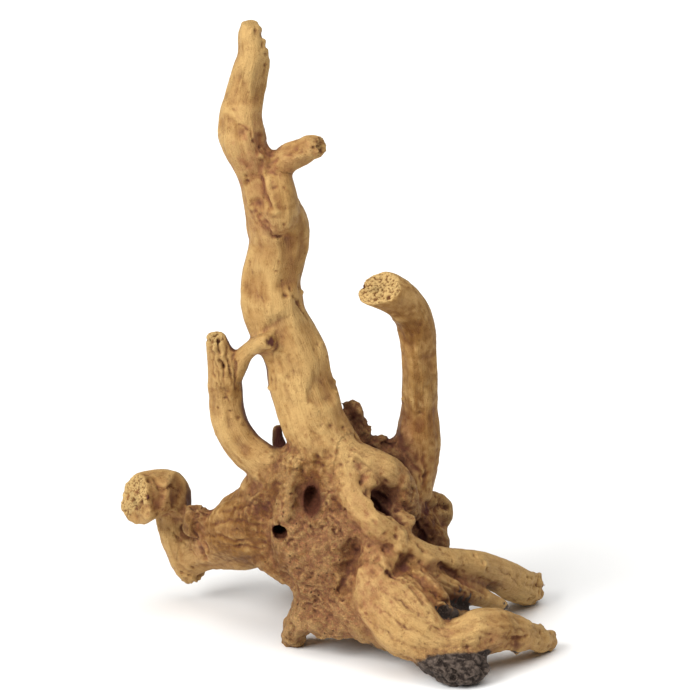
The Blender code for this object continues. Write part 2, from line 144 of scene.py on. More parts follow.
print(len(TRUNK_LIMBS), "limbs above the root mass")

# %% Limbs of the root mass and the roots
ROOT_LIMBS = {
    "upper ridge": (0.3, 0.9, [
        (-12, 154, -8, 14), (0, 141, -16, 11.5), (12, 135, -20, 9.5), (24, 131, -20, 9),
        (33, 123, -17, 8.5), (38, 112, -12, 8),
    ]),
    "cave tip": (0.4, 0.5, [(34, 104, -4, 5), (38, 100, -14, 4.5), (40, 98, -18, 3.5)]),
    "right root": (0.15, 1.1, [
        (-4, 142, -16, 13), (2, 125, -27, 11), (6, 112, -36, 10.5), (15, 102, -41, 9.5),
        (27, 91, -41, 8.5), (38, 82.5, -38, 9.2), (49, 76.5, -31, 9.8), (60, 74, -20, 10),
        (72, 72, -8, 9.9), (84, 69, 8, 10.3), (96, 64, 24, 10.8), (106, 59, 40, 11.5),
        (114, 56, 53, 10.2), (118, 55, 57, 8),
    ]),
    "middle strand": (0.9, 0.8, [
        (-12, 135, -10, 18), (-9, 115, -18, 21), (-7, 91, -24, 23), (-3, 67, -28, 22),
        (0, 50, -32, 18), (1, 42, -34, 14),
    ]),
    "left shoulder": (0.4, 1.0, [
        (-27, 139, -8, 9), (-42, 132, -8, 9), (-52, 121, -2, 9), (-62, 110, 10, 8.5),
        (-72, 101, 24, 8),
    ]),
    "left apron": (0.6, 0.8, [
        (-56, 80, 2, 8), (-49, 78, -8, 9), (-40, 73, -18, 10), (-32, 64, -22, 9),
    ]),
    "hole rim": (0.5, 0.7, [
        (-28, 138, -18, 8), (-32, 125, -22, 8), (-35, 112, -26, 8), (-35, 100, -28, 9),
        (-32, 84, -30, 11),
    ]),
    "left strand": (0.8, 0.8, [
        (-27, 130, -10, 13), (-30, 112, -12, 15), (-27, 92, -22, 19), (-21, 72, -27, 17),
        (-19, 56, -28, 14), (-25, 43, -27, 9.5), (-29, 34, -21, 8.2), (-31, 28, -16, 7.8),
        (-31, 21, -12, 7.2),
    ]),
    "front skirt": (0.8, 0.8, [
        (-26, 42, -28, 8.5), (-14, 38.5, -34, 10.5), (0, 39, -38, 11.5), (14, 39, -42, 12.5),
        (28, 34, -48, 14),
    ]),
    "front root": (0.2, 1.5, [
        (14, 78, -36, 13), (20, 63, -46, 19), (33, 45, -55, 22.5), (45, 34, -64, 20.5),
        (60, 26, -70, 14), (72, 29, -68, 14.5), (82, 33, -62, 15.5), (96, 33, -52, 13),
        (108, 30, -42, 10.5), (117, 28, -30, 9), (124, 26, -21, 7.5),
    ]),
    "dark base": (0.9, 0.4, [
        (48, 20, -72, 9), (57, 15, -78, 11), (67, 12, -80, 12), (76, 13, -78, 11),
        (84, 17, -74, 8),
    ]),
    "middle root": (0.15, 1.0, [
        (40, 69, -36, 9), (51, 63.5, -33, 9), (62, 58, -27, 8.8), (73, 55, -17, 7.5),
        (84, 51.5, -6, 6), (93, 48, 2, 5), (98, 46.5, 6, 4.5),
    ]),
    "root web": (0.3, 0.6, [(56, 46, -40, 8), (66, 43, -32, 7), (75, 45, -24, 5)]),
    "small cut root": (0.4, 1.0, [
        (30, 70, -40, 9), (42, 64, -46, 8.6), (50, 57, -51, 8.2), (56, 50, -57, 7.6),
        (59, 45, -63, 6.8),
    ]),
    "rear knob": (0.5, 0.4, [
        (43, 105, 18, 9), (54.5, 111, 26, 6.2), (59.5, 102, 28, 6.2), (50, 98, 20, 7),
        (56, 90, 19, 6), (60, 84, 17, 5),
    ]),
    "striated wedge": (0.5, 1.4, [
        (38, 108, 2, 8), (44, 100, 5, 9), (50, 92, 7, 9), (56, 84, 7, 8), (61, 79, 5, 6),
    ]),
    "heart": (0.8, 0.6, [
        (-9, 130, 4, 22), (-3, 100, 4, 32), (6, 70, -2, 34), (15, 52, -8, 26),
    ]),
    "right shoulder": (0.9, 0.6, [(8, 92, -8, 22), (28, 80, -14, 20), (42, 72, -18, 14)]),
    "back left root": (0.5, 1.2, [
        (-10, 99, 8, 30), (-14, 88, 35, 22), (-17, 73, 58, 16), (-18, 64, 74, 12), (-18, 60, 80, 9),
    ]),
    "back right root": (0.5, 1.2, [
        (10, 98, 10, 30), (28, 86, 35, 20), (40, 71, 58, 14), (46, 62, 72, 11), (48, 58, 78, 8),
    ]),
}

# %% Wood that has grown into the valleys between the limbs
VALLEY_LIMBS = {
    "slope below the ridge": (0.7, 0.5, [
        (4, 88, -22, 24), (16, 81, -26, 22), (28, 73, -28, 19), (38, 67, -27, 15),
    ]),
    "shoulder of the front root": (0.3, 0.8, [
        (12, 88, -31, 15), (17, 76, -38, 17), (23, 64, -44, 20),
    ]),
    "floor of the cave": (0.9, 0.4, [
        (8, 126, -14, 11), (18, 120, -13, 11), (28, 113, -9, 11), (40, 104, -4, 9),
    ]),
    "curtain beside the cave": (0.7, 0.5, [
        (34, 122, -15, 8.5), (35, 114, -18, 8.5), (38, 107, -14, 7.5), (41, 101, -8, 6),
    ]),
    "flank of the second ridge": (0.7, 0.5, [
        (-10, 128, -17, 13), (-6, 112, -25, 14), (3, 98, -31, 14), (15, 88, -34, 13),
    ]),
    "web between the ridges": (0.3, 0.7, [(4, 134, -20, 11), (9, 125, -25, 10.5), (13, 117, -30, 9)]),
    "small root tip": (0.4, 0.7, [
        (24, 107, -21, 5), (32, 103, -28, 5), (38, 99.5, -32, 4.6), (42, 98.5, -33, 4),
    ]),
    "floor of the left valley": (0.8, 0.4, [
        (-33, 126, -15, 12), (-40, 117, -13, 12.5), (-48, 107, -10, 12.5), (-54, 98, -8, 12),
    ]),
    "apron of the front root": (0.5, 0.6, [
        (0, 70, -33, 18), (7, 54, -38, 19), (14, 42, -42, 17), (21, 34, -46, 14),
    ]),
}
LIMBS = {**TRUNK_LIMBS, **ROOT_LIMBS, **VALLEY_LIMBS}
print(len(LIMBS), "limbs in all")

# %% [markdown]
# ## One skin over all limbs
# A curve object with a bevel gives a round tube along each limb. Some forty tubes that
# run through each other are not a solid yet. The voxel remesher melts them into one closed
# skin, and a few rounds of smoothing round off the valleys between them, much as real
# wood grows over a fork.

# %% Helpers that turn curves and modifiers into plain meshes
def linked(name, data):
    """A new object with this data, in the scene."""
    item = bpy.data.objects.new(name, data)
    bpy.context.scene.collection.objects.link(item)
    return item


def shaped(name, shape):
    """A new object in the scene with the mesh of a bmesh, which is freed."""
    mesh = bpy.data.meshes.new(name)
    shape.to_mesh(mesh)
    shape.free()
    return linked(name, mesh)


def shown_mesh(item):
    """What an object shows, with its bevel or modifiers, as a plain mesh."""
    bpy.context.view_layer.update()
    graph = bpy.context.evaluated_depsgraph_get()
    return bpy.data.meshes.new_from_object(item.evaluated_get(graph))


def baked(item, kind, **settings):
    """Give an object one modifier with these settings, and keep what it makes as its mesh."""
    step = item.modifiers.new(kind.lower(), kind)
    for name, value in settings.items():
        setattr(step, name, value)
    made = shown_mesh(item)
    item.modifiers.clear()
    before, item.data = item.data, made
    bpy.data.meshes.remove(before)
    return item


def limb_tube(stations):
    """A curve object whose tube is as thick at each station as its radius says."""
    data = bpy.data.curves.new("limb", "CURVE")
    data.dimensions = "3D"
    data.bevel_depth = MM
    data.bevel_resolution = 5
    data.resolution_u = 6
    data.use_fill_caps = True
    line = data.splines.new("BEZIER")
    line.radius_interpolation = "CARDINAL"
    line.bezier_points.add(len(stations) - 1)
    for point, (across, up, depth, radius) in zip(line.bezier_points, stations):
        point.co = seen_point(across, up, depth)
        point.radius = radius
        point.handle_left_type = "AUTO"
        point.handle_right_type = "AUTO"
    return linked("limb", data)


# %% Melt the limbs into one skin
FIRST_VOXEL = 1.9 * MM
FIRST_SMOOTHING = 6


def fused_limbs():
    """All limbs as one closed skin."""
    shape = bmesh.new()
    for knobbly, fluted, stations in LIMBS.values():
        tube = limb_tube(stations)
        mesh = shown_mesh(tube)
        shape.from_mesh(mesh)
        bpy.data.meshes.remove(mesh)
        bpy.data.objects.remove(tube, do_unlink=True)
    bmesh.ops.remove_doubles(shape, verts=shape.verts, dist=0.01 * MM)
    wood = shaped("driftwood", shape)
    baked(wood, "REMESH", mode="VOXEL", voxel_size=FIRST_VOXEL)
    return baked(wood, "SMOOTH", factor=0.5, iterations=FIRST_SMOOTHING)


wood = fused_limbs()
print("first skin:", len(wood.data.vertices), "points")

# %% [markdown]
# ## Knowing the grain
# Wood grain runs along a limb and round it. To carve flutes and fibres we need, for each
# point of the skin, how far along and how far round the nearest limb it lies. Near a fork
# several limbs claim the point, so we let them share it: the closer a limb, the more its
# grain counts. That gives the soft flow of one grain into the next that real forks have.

# %% Arrays in and out of a mesh
def positions_of(mesh):
    """Positions of all points of a mesh as an array."""
    flat = np.empty(len(mesh.vertices) * 3)
    mesh.vertices.foreach_get("co", flat)
    return flat.reshape(-1, 3)


def normals_of(mesh):
    """Directions that the skin faces at all its points, as an array."""
    flat = np.empty(len(mesh.vertices) * 3)
    mesh.vertex_normals.foreach_get("vector", flat)
    return flat.reshape(-1, 3)


def raise_skin(wood, lift):
    """Move each point of the skin outwards by its lift, in millimetres."""
    moved = positions_of(wood.data) + normals_of(wood.data) * (lift * MM)[:, None]
    wood.data.vertices.foreach_set("co", moved.ravel())
    wood.data.update()


def waves(spots, shift=(0.0, 0.0, 0.0)):
    """Smooth random values, about -0.7 to 0.7, at each row of spots."""
    return np.array([noise.noise(spot) for spot in (spots + np.array(shift)).tolist()])


def lumps(places, size, shift=(0.0, 0.0, 0.0)):
    """Smooth random values at each place, in lumps of one size in millimetres."""
    return waves(places / (size * MM), shift)


def folds(places, size, top, fall, shift):
    """Sharp folds of a random wave: top on a fold, and lower beside it."""
    return top - fall * np.abs(lumps(places, size, shift))


# %% Where each point lies on each limb
GRAIN_REACH = 24.0
GRAIN_BLEND = 3.0
LEAST_SHARE = 0.02
FIRST_SIDE = (0.31, 0.83, 0.47)
LINE_STEPS = 4


def centreline(stations):
    """Points along the middle of a limb and the radius there, in millimetres."""
    points = [seen_point(*row[:3]) / MM for row in stations]
    radii = [row[3] for row in stations]
    line, widths = [], []
    for i in range(len(points) - 1):
        before = points[max(i - 1, 0)]
        after = points[min(i + 2, len(points) - 1)]
        leave = points[i] + (points[i + 1] - before) / 6
        arrive = points[i + 1] - (after - points[i]) / 6
        line += interpolate_bezier(points[i], leave, arrive, points[i + 1], LINE_STEPS + 1)[:-1]
        widths += list(np.linspace(radii[i], radii[i + 1], LINE_STEPS, endpoint=False))
    line.append(points[-1])
    widths.append(radii[-1])
    return np.array([tuple(point) for point in line]), np.array(widths)


def limb_frames(line):
    """Direction of the limb at each point of its middle line, and two sides without twist."""
    ahead = np.gradient(line, axis=0)
    ahead /= np.linalg.norm(ahead, axis=1)[:, None]
    side = np.cross(ahead[0], FIRST_SIDE)
    sides = []
    for direction in ahead:
        side = side - direction * side.dot(direction)
        side = side / np.linalg.norm(side)
        sides.append(side)
    sides = np.array(sides)
    return ahead, sides, np.cross(ahead, sides)


def survey(positions):
    """For each limb, the skin points near it and their gap, turn, run and radius on it."""
    spots = positions / MM
    found = []
    for knobbly, fluted, stations in LIMBS.values():
        line, widths = centreline(stations)
        ahead, sides, others = limb_frames(line)
        margin = widths.max() + GRAIN_REACH
        near = np.nonzero(((spots > line.min(axis=0) - margin)
                           & (spots < line.max(axis=0) + margin)).all(axis=1))[0]
        away = np.stack([np.linalg.norm(spots[near] - point, axis=1) for point in line], axis=1)
        best = np.argmin(away - widths, axis=1)
        gap = away[np.arange(len(near)), best] - widths[best]
        offset = spots[near] - line[best]
        turn = np.arctan2((offset * others[best]).sum(axis=1), (offset * sides[best]).sum(axis=1))
        steps = np.linalg.norm(np.diff(line, axis=0), axis=1)
        along = np.concatenate([[0.0], np.cumsum(steps)])
        run = along[best] + (offset * ahead[best]).sum(axis=1)
        close = gap < GRAIN_REACH
        found.append((near[close], gap[close], turn[close], run[close], widths[best][close], along[-1]))
    return found


def shared(found, count, recipe):
    """What a recipe gives on each limb, blended by how close each skin point is to the limbs."""
    least = np.full(count, GRAIN_REACH)
    for near, gap, *rest in found:
        least[near] = np.minimum(least[near], gap)
    total, weights = np.zeros(count), np.full(count, 1e-9)
    for order, (near, gap, turn, run, width, length) in enumerate(found):
        part = np.exp((least[near] - gap) / GRAIN_BLEND)
        keep = part > LEAST_SHARE
        value = recipe(order, turn[keep], run[keep], width[keep], length)
        total[near[keep]] += part[keep] * value
        weights[near[keep]] += part[keep]
    return total / weights


# %% [markdown]
# ## Flutes, lumps and knobs
# Root wood is never round. Long shallow flutes follow each limb, broad lumps swell and
# sink, and the mass in the middle is covered in knobs. All three come from smooth random
# waves: stretched along the limb for flutes, even in all directions for lumps and knobs.

# %% Large relief on the first skin
KNOBBLY = np.array([limb[0] for limb in LIMBS.values()])
FLUTED = np.array([limb[1] for limb in LIMBS.values()])
FLUTE_DEPTH = 1.5
FLUTES_AROUND = 1.5
FLUTE_LENGTH = 55.0
FINE_FLUTES = 2.2
THICK_LIMB = 14.0
LIMB_APART = 7.3
LUMP_DEPTH = 1.0
LUMP_SIZE = 26.0
KNOB_DEPTH = 2.0
KNOB_SIZE = 12.0
KNOB_SHIFT = (3.0, 1.0, 5.0)


def flutes(order, turn, run, width, length):
    """Long flutes of one limb."""
    spots = np.stack([FLUTES_AROUND * np.cos(turn), FLUTES_AROUND * np.sin(turn) + LIMB_APART * order,
                      run / FLUTE_LENGTH], axis=1)
    lift = waves(spots) + 0.5 * waves(spots * FINE_FLUTES)
    return lift * FLUTED[order] * np.clip(width / THICK_LIMB, 0.35, 1.2)


def knobbliness(order, turn, run, width, length):
    """How knobbly one limb is."""
    return np.full(len(turn), KNOBBLY[order])


def large_relief(wood):
    """Flutes, lumps and knobs."""
    places = positions_of(wood.data)
    found = survey(places)
    count = len(places)
    lift = FLUTE_DEPTH * shared(found, count, flutes)
    lift += LUMP_DEPTH * lumps(places, LUMP_SIZE)
    knobs = folds(places, KNOB_SIZE, 0.5, 2.0, KNOB_SHIFT)
    lift += KNOB_DEPTH * shared(found, count, knobbliness) * knobs
    raise_skin(wood, lift)
    print("large relief: from %.1f to %.1f mm" % (lift.min(), lift.max()))


large_relief(wood)

# %% [markdown]
# ## Pushing the clay
# Some swellings and hollows are too local for a limb and too large for a carved mark. They
# are pushed in or out like thumb marks in clay, each at the pixel where the picture shows
# it. A ray from the camera finds where that is on the skin, so a mark sits on the wood.

# %% Find marks on the skin
STROKE_STEP = 1.0
CARVE_REACH = 2.4


def skin_tree(mesh):
    """A tree that finds where a ray meets the skin."""
    shape = bmesh.new()
    shape.from_mesh(mesh)
    tree = BVHTree.FromBMesh(shape)
    shape.free()
    return tree


def on_the_skin(tree, x, y):
    """Where the camera sees the skin at a pixel, or nothing if it sees past the wood."""
    far = TOWARD_CAMERA * 0.5
    return tree.ray_cast(picture_point(x, y) + far, -TOWARD_CAMERA)[0]


def stroke_points(tree, points):
    """Points on the skin along a stroke, close together."""
    found = []
    for (x0, y0), (x1, y1) in zip(points[:-1], points[1:]):
        steps = max(2, round(math.hypot(x1 - x0, y1 - y0) * PIXEL / STROKE_STEP))
        for k in range(steps + 1):
            share = k / steps
            found.append(on_the_skin(tree, x0 + (x1 - x0) * share, y0 + (y1 - y0) * share))
    return [spot for spot in found if spot is not None]


def point_finder(places):
    """A tree that finds the skin points near a spot."""
    finder = kdtree.KDTree(len(places))
    for i, place in enumerate(places.tolist()):
        finder.insert(place, i)
    finder.balance()
    return finder


def bell(finder, count, spots, radius):
    """How strongly spots with this radius, in millimetres, mark each skin point."""
    away = np.full(count, np.inf)
    for spot in spots:
        for place, i, distance in finder.find_range(spot, radius * CARVE_REACH * MM):
            away[i] = min(away[i], distance)
    return np.exp(-(away / (radius * MM)) ** 2)


# %% Thumb marks: pixel in the picture, radius and lift in millimetres
THUMB_MARKS = [
    # Round the oval hole and the left valley
    (311, 484, 7.5, -2.4), (314, 472, 5.5, -1.6), (319, 461, 4.0, -1.0), (262, 509, 5.5, -3.2),
    (272, 493, 7.0, -1.5), (291, 510, 5.0, 1.6), (289, 500, 3.5, 1.0), (271, 458, 3.4, 2.2),
    (282, 463, 4.0, 1.2), (326, 492, 6.0, 1.0), (258, 478, 5.0, 1.2), (244, 490, 5.0, 1.0),
    # The purple valley and the slope right of it
    (354, 550, 5.5, -3.2), (348, 568, 5.5, -3.2), (341, 588, 5.0, -2.6), (352, 583, 4.0, -1.0),
    (375, 520, 3.4, 1.6), (404, 534, 4.2, 2.4), (410, 538, 2.2, -1.8), (390, 536, 3.0, -0.8),
    (373, 546, 4.5, 1.6), (386, 547, 3.0, -1.2), (399, 551, 4.0, 1.3), (379, 560, 4.5, 1.2),
    (363, 532, 5.0, 1.0), (352, 500, 5.0, 1.2), (345, 482, 5.0, 1.0), (312, 500, 8.5, -1.6),
    # The pocket, and the grooves between the roots
    (404, 566, 4.6, -4.0), (397, 570, 3.6, -2.6), (430, 560, 4.0, 1.4), (485, 568, 6.0, 1.4),
    (455, 560, 5.0, 0.8),
    # The upper ridge and its roof over the cave
    (346, 448, 6.0, 1.4), (356, 456, 4.0, 1.2), (370, 462, 4.0, 1.6), (388, 472, 5.0, 1.6),
    (376, 484, 3.0, 1.2), (390, 485, 2.6, 1.2), (406, 484, 4.0, 1.6), (404, 498, 4.0, 1.2),
    (364, 478, 3.0, -0.8), (413, 494, 2.4, -2.6), (397, 487, 2.2, -1.2), (398, 508, 2.0, -1.6),
    (409, 507, 2.4, -1.6),
    # Where the hook grows out of the mass
    (387, 446, 3.6, -4.0), (404, 467, 4.0, -1.4), (413, 479, 3.0, -1.2), (393, 455, 3.0, 1.4),
    (404, 432, 4.0, 1.4), (415, 440, 5.0, 1.2),
    # Knobs behind the trunk
    (344, 404, 2.6, 2.4), (352, 403, 2.2, 1.8), (360, 413, 2.4, 2.2), (364, 424, 2.0, 1.4),
    (356, 427, 2.6, -2.4), (348, 416, 2.4, -2.0), (370, 434, 2.2, 1.6), (380, 433, 2.0, 1.4),
    (392, 436, 2.2, 1.6), (360, 440, 2.6, -2.4), (376, 446, 2.6, 1.2),
    # The rear knobs
    (436, 501, 4.0, 1.6), (444, 517, 4.6, 1.6), (436, 511, 1.8, -3.0), (447, 508, 1.8, -2.6),
    (428, 512, 2.6, -4.0), (438, 525, 2.0, -3.0), (445, 527, 1.8, -2.6),
    # The front root
    (478, 618, 6.0, 1.2), (516, 641, 5.0, -2.6), (496, 642, 5.0, 1.0), (530, 624, 5.0, 1.0),
    (549, 640, 4.0, 1.6), (403, 585, 5.0, 1.2), (372, 590, 8.0, -1.2), (362, 612, 5.0, 1.4),
    # The elbow
    (198, 520, 4.0, 1.6), (187, 500, 3.0, -1.0), (203, 548, 3.4, -2.6), (150, 473, 4.0, 1.0),
    (173, 476, 4.0, 1.4), (160, 477, 3.0, -1.2),
    # The trunk
    (262, 143, 5.0, -2.4), (250, 160, 3.0, 0.8), (258, 205, 3.5, -2.6), (266, 226, 3.6, -2.6),
    (282, 236, 3.6, -1.6), (268, 184, 4.0, 1.2), (255, 178, 4.0, -1.6), (245, 40, 4.0, 0.8),
    (300, 305, 3.5, -1.6), (272, 215, 4.0, 1.0),
]
print(len(THUMB_MARKS), "thumb marks")

# %% Broad strokes: points in the picture, half width and lift in millimetres
BROAD_STROKES = {
    "between the right and middle roots": (
        [(440, 566), (452, 574), (464, 582), (476, 588), (488, 594)], 1.7, -3.2),
    "under the middle root": ([(450, 601), (460, 606), (470, 607)], 2.8, -3.5),
    "between small cut root and middle root": (
        [(412, 573), (424, 580), (436, 591), (446, 598)], 1.8, -2.4),
    "beside the front root's crest": ([(388, 572), (400, 579), (414, 588), (424, 602)], 1.6, -2.0),
    "purple valley": ([(353, 546), (355, 558), (347, 572), (340, 590)], 4.0, -1.6),
}
print(len(BROAD_STROKES), "broad strokes")

# %% Facets: pixel in the picture, way it faces, depth and reach in millimetres
FACETS = [
    (166, 475, (0.05, -0.35, 0.95), 1.2, 17), (183, 492, (0.45, -0.8, 0.35), 1.6, 15),
    (163, 496, (0.15, -0.95, 0.25), 1.2, 14), (158, 535, (-0.5, -0.85, 0.1), 1.2, 20),
    (176, 545, (0.45, -0.9, 0.0), 1.0, 18), (240, 75, (-0.6, -0.8, 0.0), 1.3, 24),
    (259, 72, (0.65, -0.75, 0.0), 1.3, 24), (232, 120, (-0.7, -0.7, -0.1), 1.0, 16),
    (292, 156, (-0.2, -0.5, 0.85), 1.0, 13), (300, 168, (0.3, -0.8, -0.5), 0.8, 12),
    (262, 275, (-0.6, -0.8, 0.1), 1.2, 20), (288, 262, (0.6, -0.8, 0.0), 1.2, 20),
    (292, 345, (-0.1, -0.98, 0.1), 1.4, 22), (316, 375, (0.75, -0.65, 0.1), 1.2, 22),
    (415, 345, (-0.6, -0.8, 0.0), 1.0, 20), (428, 380, (0.6, -0.8, 0.0), 1.0, 20),
    (222, 410, (-0.7, -0.7, 0.2), 0.8, 16), (395, 295, (0.1, -0.8, 0.6), 0.8, 14),
    (443, 611, (0.45, -0.88, -0.1), 2.4, 8.5), (540, 592, (0.9, -0.3, 0.2), 1.5, 9),
    (252, 27, (0.15, -0.2, 0.95), 1.4, 9), (322, 146, (0.95, -0.3, 0.1), 1.6, 9),
    (274, 341, (0.8, -0.6, 0.1), 1.2, 6),
]
FACET_FADE = 5
FACET_LIMIT = 2.2


# %% Push and shave
def push_forms(wood):
    """Push the skin in or out under every thumb mark and along every broad stroke."""
    places = positions_of(wood.data)
    tree, finder = skin_tree(wood.data), point_finder(places)
    lift = np.zeros(len(places))
    for x, y, radius, height in THUMB_MARKS:
        spot = on_the_skin(tree, x, y)
        if spot is not None:
            lift += height * bell(finder, len(places), [spot], radius)
    for points, width, height in BROAD_STROKES.values():
        lift += height * bell(finder, len(places), stroke_points(tree, points), width)
    raise_skin(wood, lift)
    print("thumb marks: from %.1f to %.1f mm" % (lift.min(), lift.max()))


def shave_facets(wood):
    """Plane the skin flat at every facet: pixel, way it faces, depth and reach in millimetres."""
    places, tree = positions_of(wood.data), skin_tree(wood.data)
    for x, y, facing, depth, reach in FACETS:
        spot = on_the_skin(tree, x, y)
        if spot is not None:
            way = np.array(facing) / np.linalg.norm(facing)
            offset = (places - np.array(spot)) / MM
            above = np.clip(offset @ way + depth, 0, FACET_LIMIT * depth)
            fade = np.clip((reach - np.linalg.norm(offset, axis=1)) / FACET_FADE, 0, 1)
            places -= (above * fade * MM)[:, None] * way
    wood.data.vertices.foreach_set("co", places.ravel())
    wood.data.update()
    print(len(FACETS), "facets shaved")


push_forms(wood)
shave_facets(wood)

# %% [markdown]
# ## Saw cuts and holes
# Three ends were sawn flat, and the mass has an oval hole, a cave under its upper ridge
# and a round drilled hole. A Boolean takes a block, a stretched ball or a rod out of the
# wood. We do it before the fine skin is made, so that the cut faces get fine skin too.

# %% Cutters
SAWN_ENDS = {
    "hook": ((21, 240, -11), (-0.25, -0.60, 0.76), 40),
    "knob": ((-128, 112, 28), (-0.82, -0.42, 0.35), 44),
    "branch": ((-78, 212, -3), (-0.15, -0.55, 0.82), 22),
}
HOLLOWS = {
    "oval hole": ((-20.5, 111, -38), 6, (4.9, 17, 7.8)),
    "cave": ((21, 110, -33), 33, (9.5, 14, 4.2)),
}
DRILL_START = (-39, 88.5, -46)
DRILL_RADIUS = 4.2
DRILL_LENGTH = 46
DRILL_SIDES = 48


def leaned(spot, lean):
    """Place of a hollow: where its middle is, leaning sideways by some degrees."""
    return Matrix.Translation(seen_point(*spot)) @ Matrix.Rotation(math.radians(lean), 4, "Y")


def cut_away(wood, build, placed):
    """Take out of the wood the shape that build makes in a bmesh, moved by a matrix."""
    shape = bmesh.new()
    build(shape)
    bmesh.ops.transform(shape, matrix=placed, verts=shape.verts)
    cutter = shaped("cutter", shape)
    baked(wood, "BOOLEAN", operation="DIFFERENCE", solver="MANIFOLD", object=cutter)
    bpy.data.objects.remove(cutter, do_unlink=True)


for spot, facing, side in SAWN_ENDS.values():
    way = Vector(facing).normalized()
    placed = Matrix.Translation(seen_point(*spot) + way * (side / 2 * MM))
    turned = placed @ way.to_track_quat("Z", "Y").to_matrix().to_4x4()
    cut_away(wood, lambda shape: bmesh.ops.create_cube(shape, size=side * MM), turned)
for spot, lean, half_sizes in HOLLOWS.values():
    cut_away(wood, lambda shape: bmesh.ops.create_uvsphere(shape, u_segments=40, v_segments=28,
                                                           radius=MM),
             leaned(spot, lean) @ Matrix.Diagonal((*half_sizes, 1.0)))
drill_middle = seen_point(*DRILL_START) + Vector((0, DRILL_LENGTH * MM / 2, 0))
cut_away(wood, lambda shape: bmesh.ops.create_cone(
    shape, cap_ends=True, segments=DRILL_SIDES, radius1=DRILL_RADIUS * MM,
    radius2=DRILL_RADIUS * MM, depth=DRILL_LENGTH * MM),
    Matrix.Translation(drill_middle) @ Matrix.Rotation(math.radians(90), 4, "X"))
print("after the cuts:", len(wood.data.vertices), "points")

# %% [markdown]
# ## A fine skin
# The first skin was coarse, so that large forms could be pushed about quickly. Fibres,
# pores and cracks are about a millimetre wide and need a skin as fine as that.

# %% Remesh finer
FINE_VOXEL = 0.95 * MM

baked(wood, "REMESH", mode="VOXEL", voxel_size=FINE_VOXEL)
baked(wood, "SMOOTH", factor=0.5, iterations=2)
print("fine skin:", len(wood.data.vertices), "points")

# %% [markdown]
# ## Broken ends
# Broken ends are ragged against the light. Bites, each at a pixel and a depth, sink the
# skin as teeth would, and leave notches in the outline. One with a minus radius raises
# a tooth between two notches instead.

# %% Bites at the broken ends: pixel in the picture, depth and radius in millimetres
BITE_LENGTH = 4.0
BITE_WIDTH = 0.75
BITES = [
    (266.5, 37, 14, 3.4), (271.5, 48, 14, 2.9), (273, 58, 14, 1.9), (264.5, 24, 14, 3.6),
    (236, 28, 14, 2.8), (258, 22, 12, 1.2), (273.5, 67, 14, 1.1), (327, 141, -10, 1.8),
    (329.5, 150, -9, 1.3), (328, 159, -8, 2.4), (317, 164.5, -7, 2.2), (319, 133, -9, 1.4),
    (528, 571, 53, 3.6), (546, 592, 55, 3.2), (543, 579, 55, -3.0), (542, 602, 55, -2.4),
    (530, 653, -38, 3.6), (548, 629, -24, 2.6), (504, 655, -52, 3.8), (559, 651, -18, 2.2),
    (517, 653, -46, -2.4), (542, 654, -29, -2.0), (541, 627, -28, -1.4), (213, 329, -4, 1.2),
    (224, 331, -4, 1.2), (206, 340, -4, 1.2), (283, 632, -14, 1.6), (290, 652, -12, 1.4),
    (302, 645, -14, 2.2), (448, 510, 28, 1.8), (187, 586, 57, 1.4), (211, 572, 50, 1.8),
    (203, 583, 54, 1.6), (173, 572, 57, 1.6), (197, 507, 30, 1.0), (208, 509, 30, 1.3),
    (340, 398, 10, 1.6), (357, 404, 11, 1.4), (367, 414, 12, 1.6), (370, 424, 12, 1.2),
    (383, 431, 14, 1.6),
]


def bite_outline(wood):
    """Sink the skin at every bite."""
    places = positions_of(wood.data)
    toward = np.array(TOWARD_CAMERA)
    lift = np.zeros(len(places))
    for x, y, depth, radius in BITES:
        offset = (places - np.array(picture_point(x, y, depth))) / MM
        near = offset @ toward
        beside = offset - near[:, None] * toward
        away = np.sqrt((beside ** 2).sum(axis=1) + (near / BITE_LENGTH) ** 2)
        lift -= radius * np.exp(-(away / (BITE_WIDTH * radius)) ** 2)
    raise_skin(wood, lift)
    print(len(BITES), "bites")


bite_outline(wood)

# %% [markdown]
# ## Fibres, cracks and torn ends
# Close up, a root shows fibres a few millimetres apart and, here and there, a long crack
# along the grain. Where a root was broken off and not sawn, its end is torn into lobes
# with deep grooves between them. The same limb coordinates serve for all of these.

# %% Grain relief
FIBRE_WIDTH = 2.6
FIBRE_LENGTH = 26.0
FIBRE_DEPTH = 0.24
CRACK_APART = 8.0
CRACK_LENGTH = 60.0
CRACK_WIDTH = 0.06
CRACK_DEPTH = 0.16
CRACK_CONTRAST = 2.5
CRACK_PATCHES = 1.7
TORN_ENDS = {
    "side stub": (8, 3.2), "right root": (12, 4.2), "front root": (9, 2.6), "middle root": (6, 1.6),
    "elbow upright": (9, 2.6), "elbow stub": (5, 2.2), "left strand": (12, 2.4), "cave tip": (4, 1.2),
    "branchlet": (3, 1.0), "back left root": (10, 3.0), "back right root": (10, 3.0),
    "rear knob": (6, 1.6),
}
TORN_LOBES = 2.1
TORN_LENGTH = 9.0
TORN_START = 0.6
TORN_FADE = 0.7
TORN_LEVEL = 0.25
TORN_SWING = 1.8


def round_and_along(order, turn, run, width, across_size, along_size):
    """Coordinates on a limb, measured in widths and lengths of one kind of mark."""
    return np.stack([width * np.cos(turn) / across_size,
                     width * np.sin(turn) / across_size + LIMB_APART * order,
                     run / along_size], axis=1)


def fibres(order, turn, run, width, length):
    """Fine fibres along one limb."""
    spots = round_and_along(order, turn, run, width, FIBRE_WIDTH, FIBRE_LENGTH)
    return waves(spots) * min(FLUTED[order], 1.2)


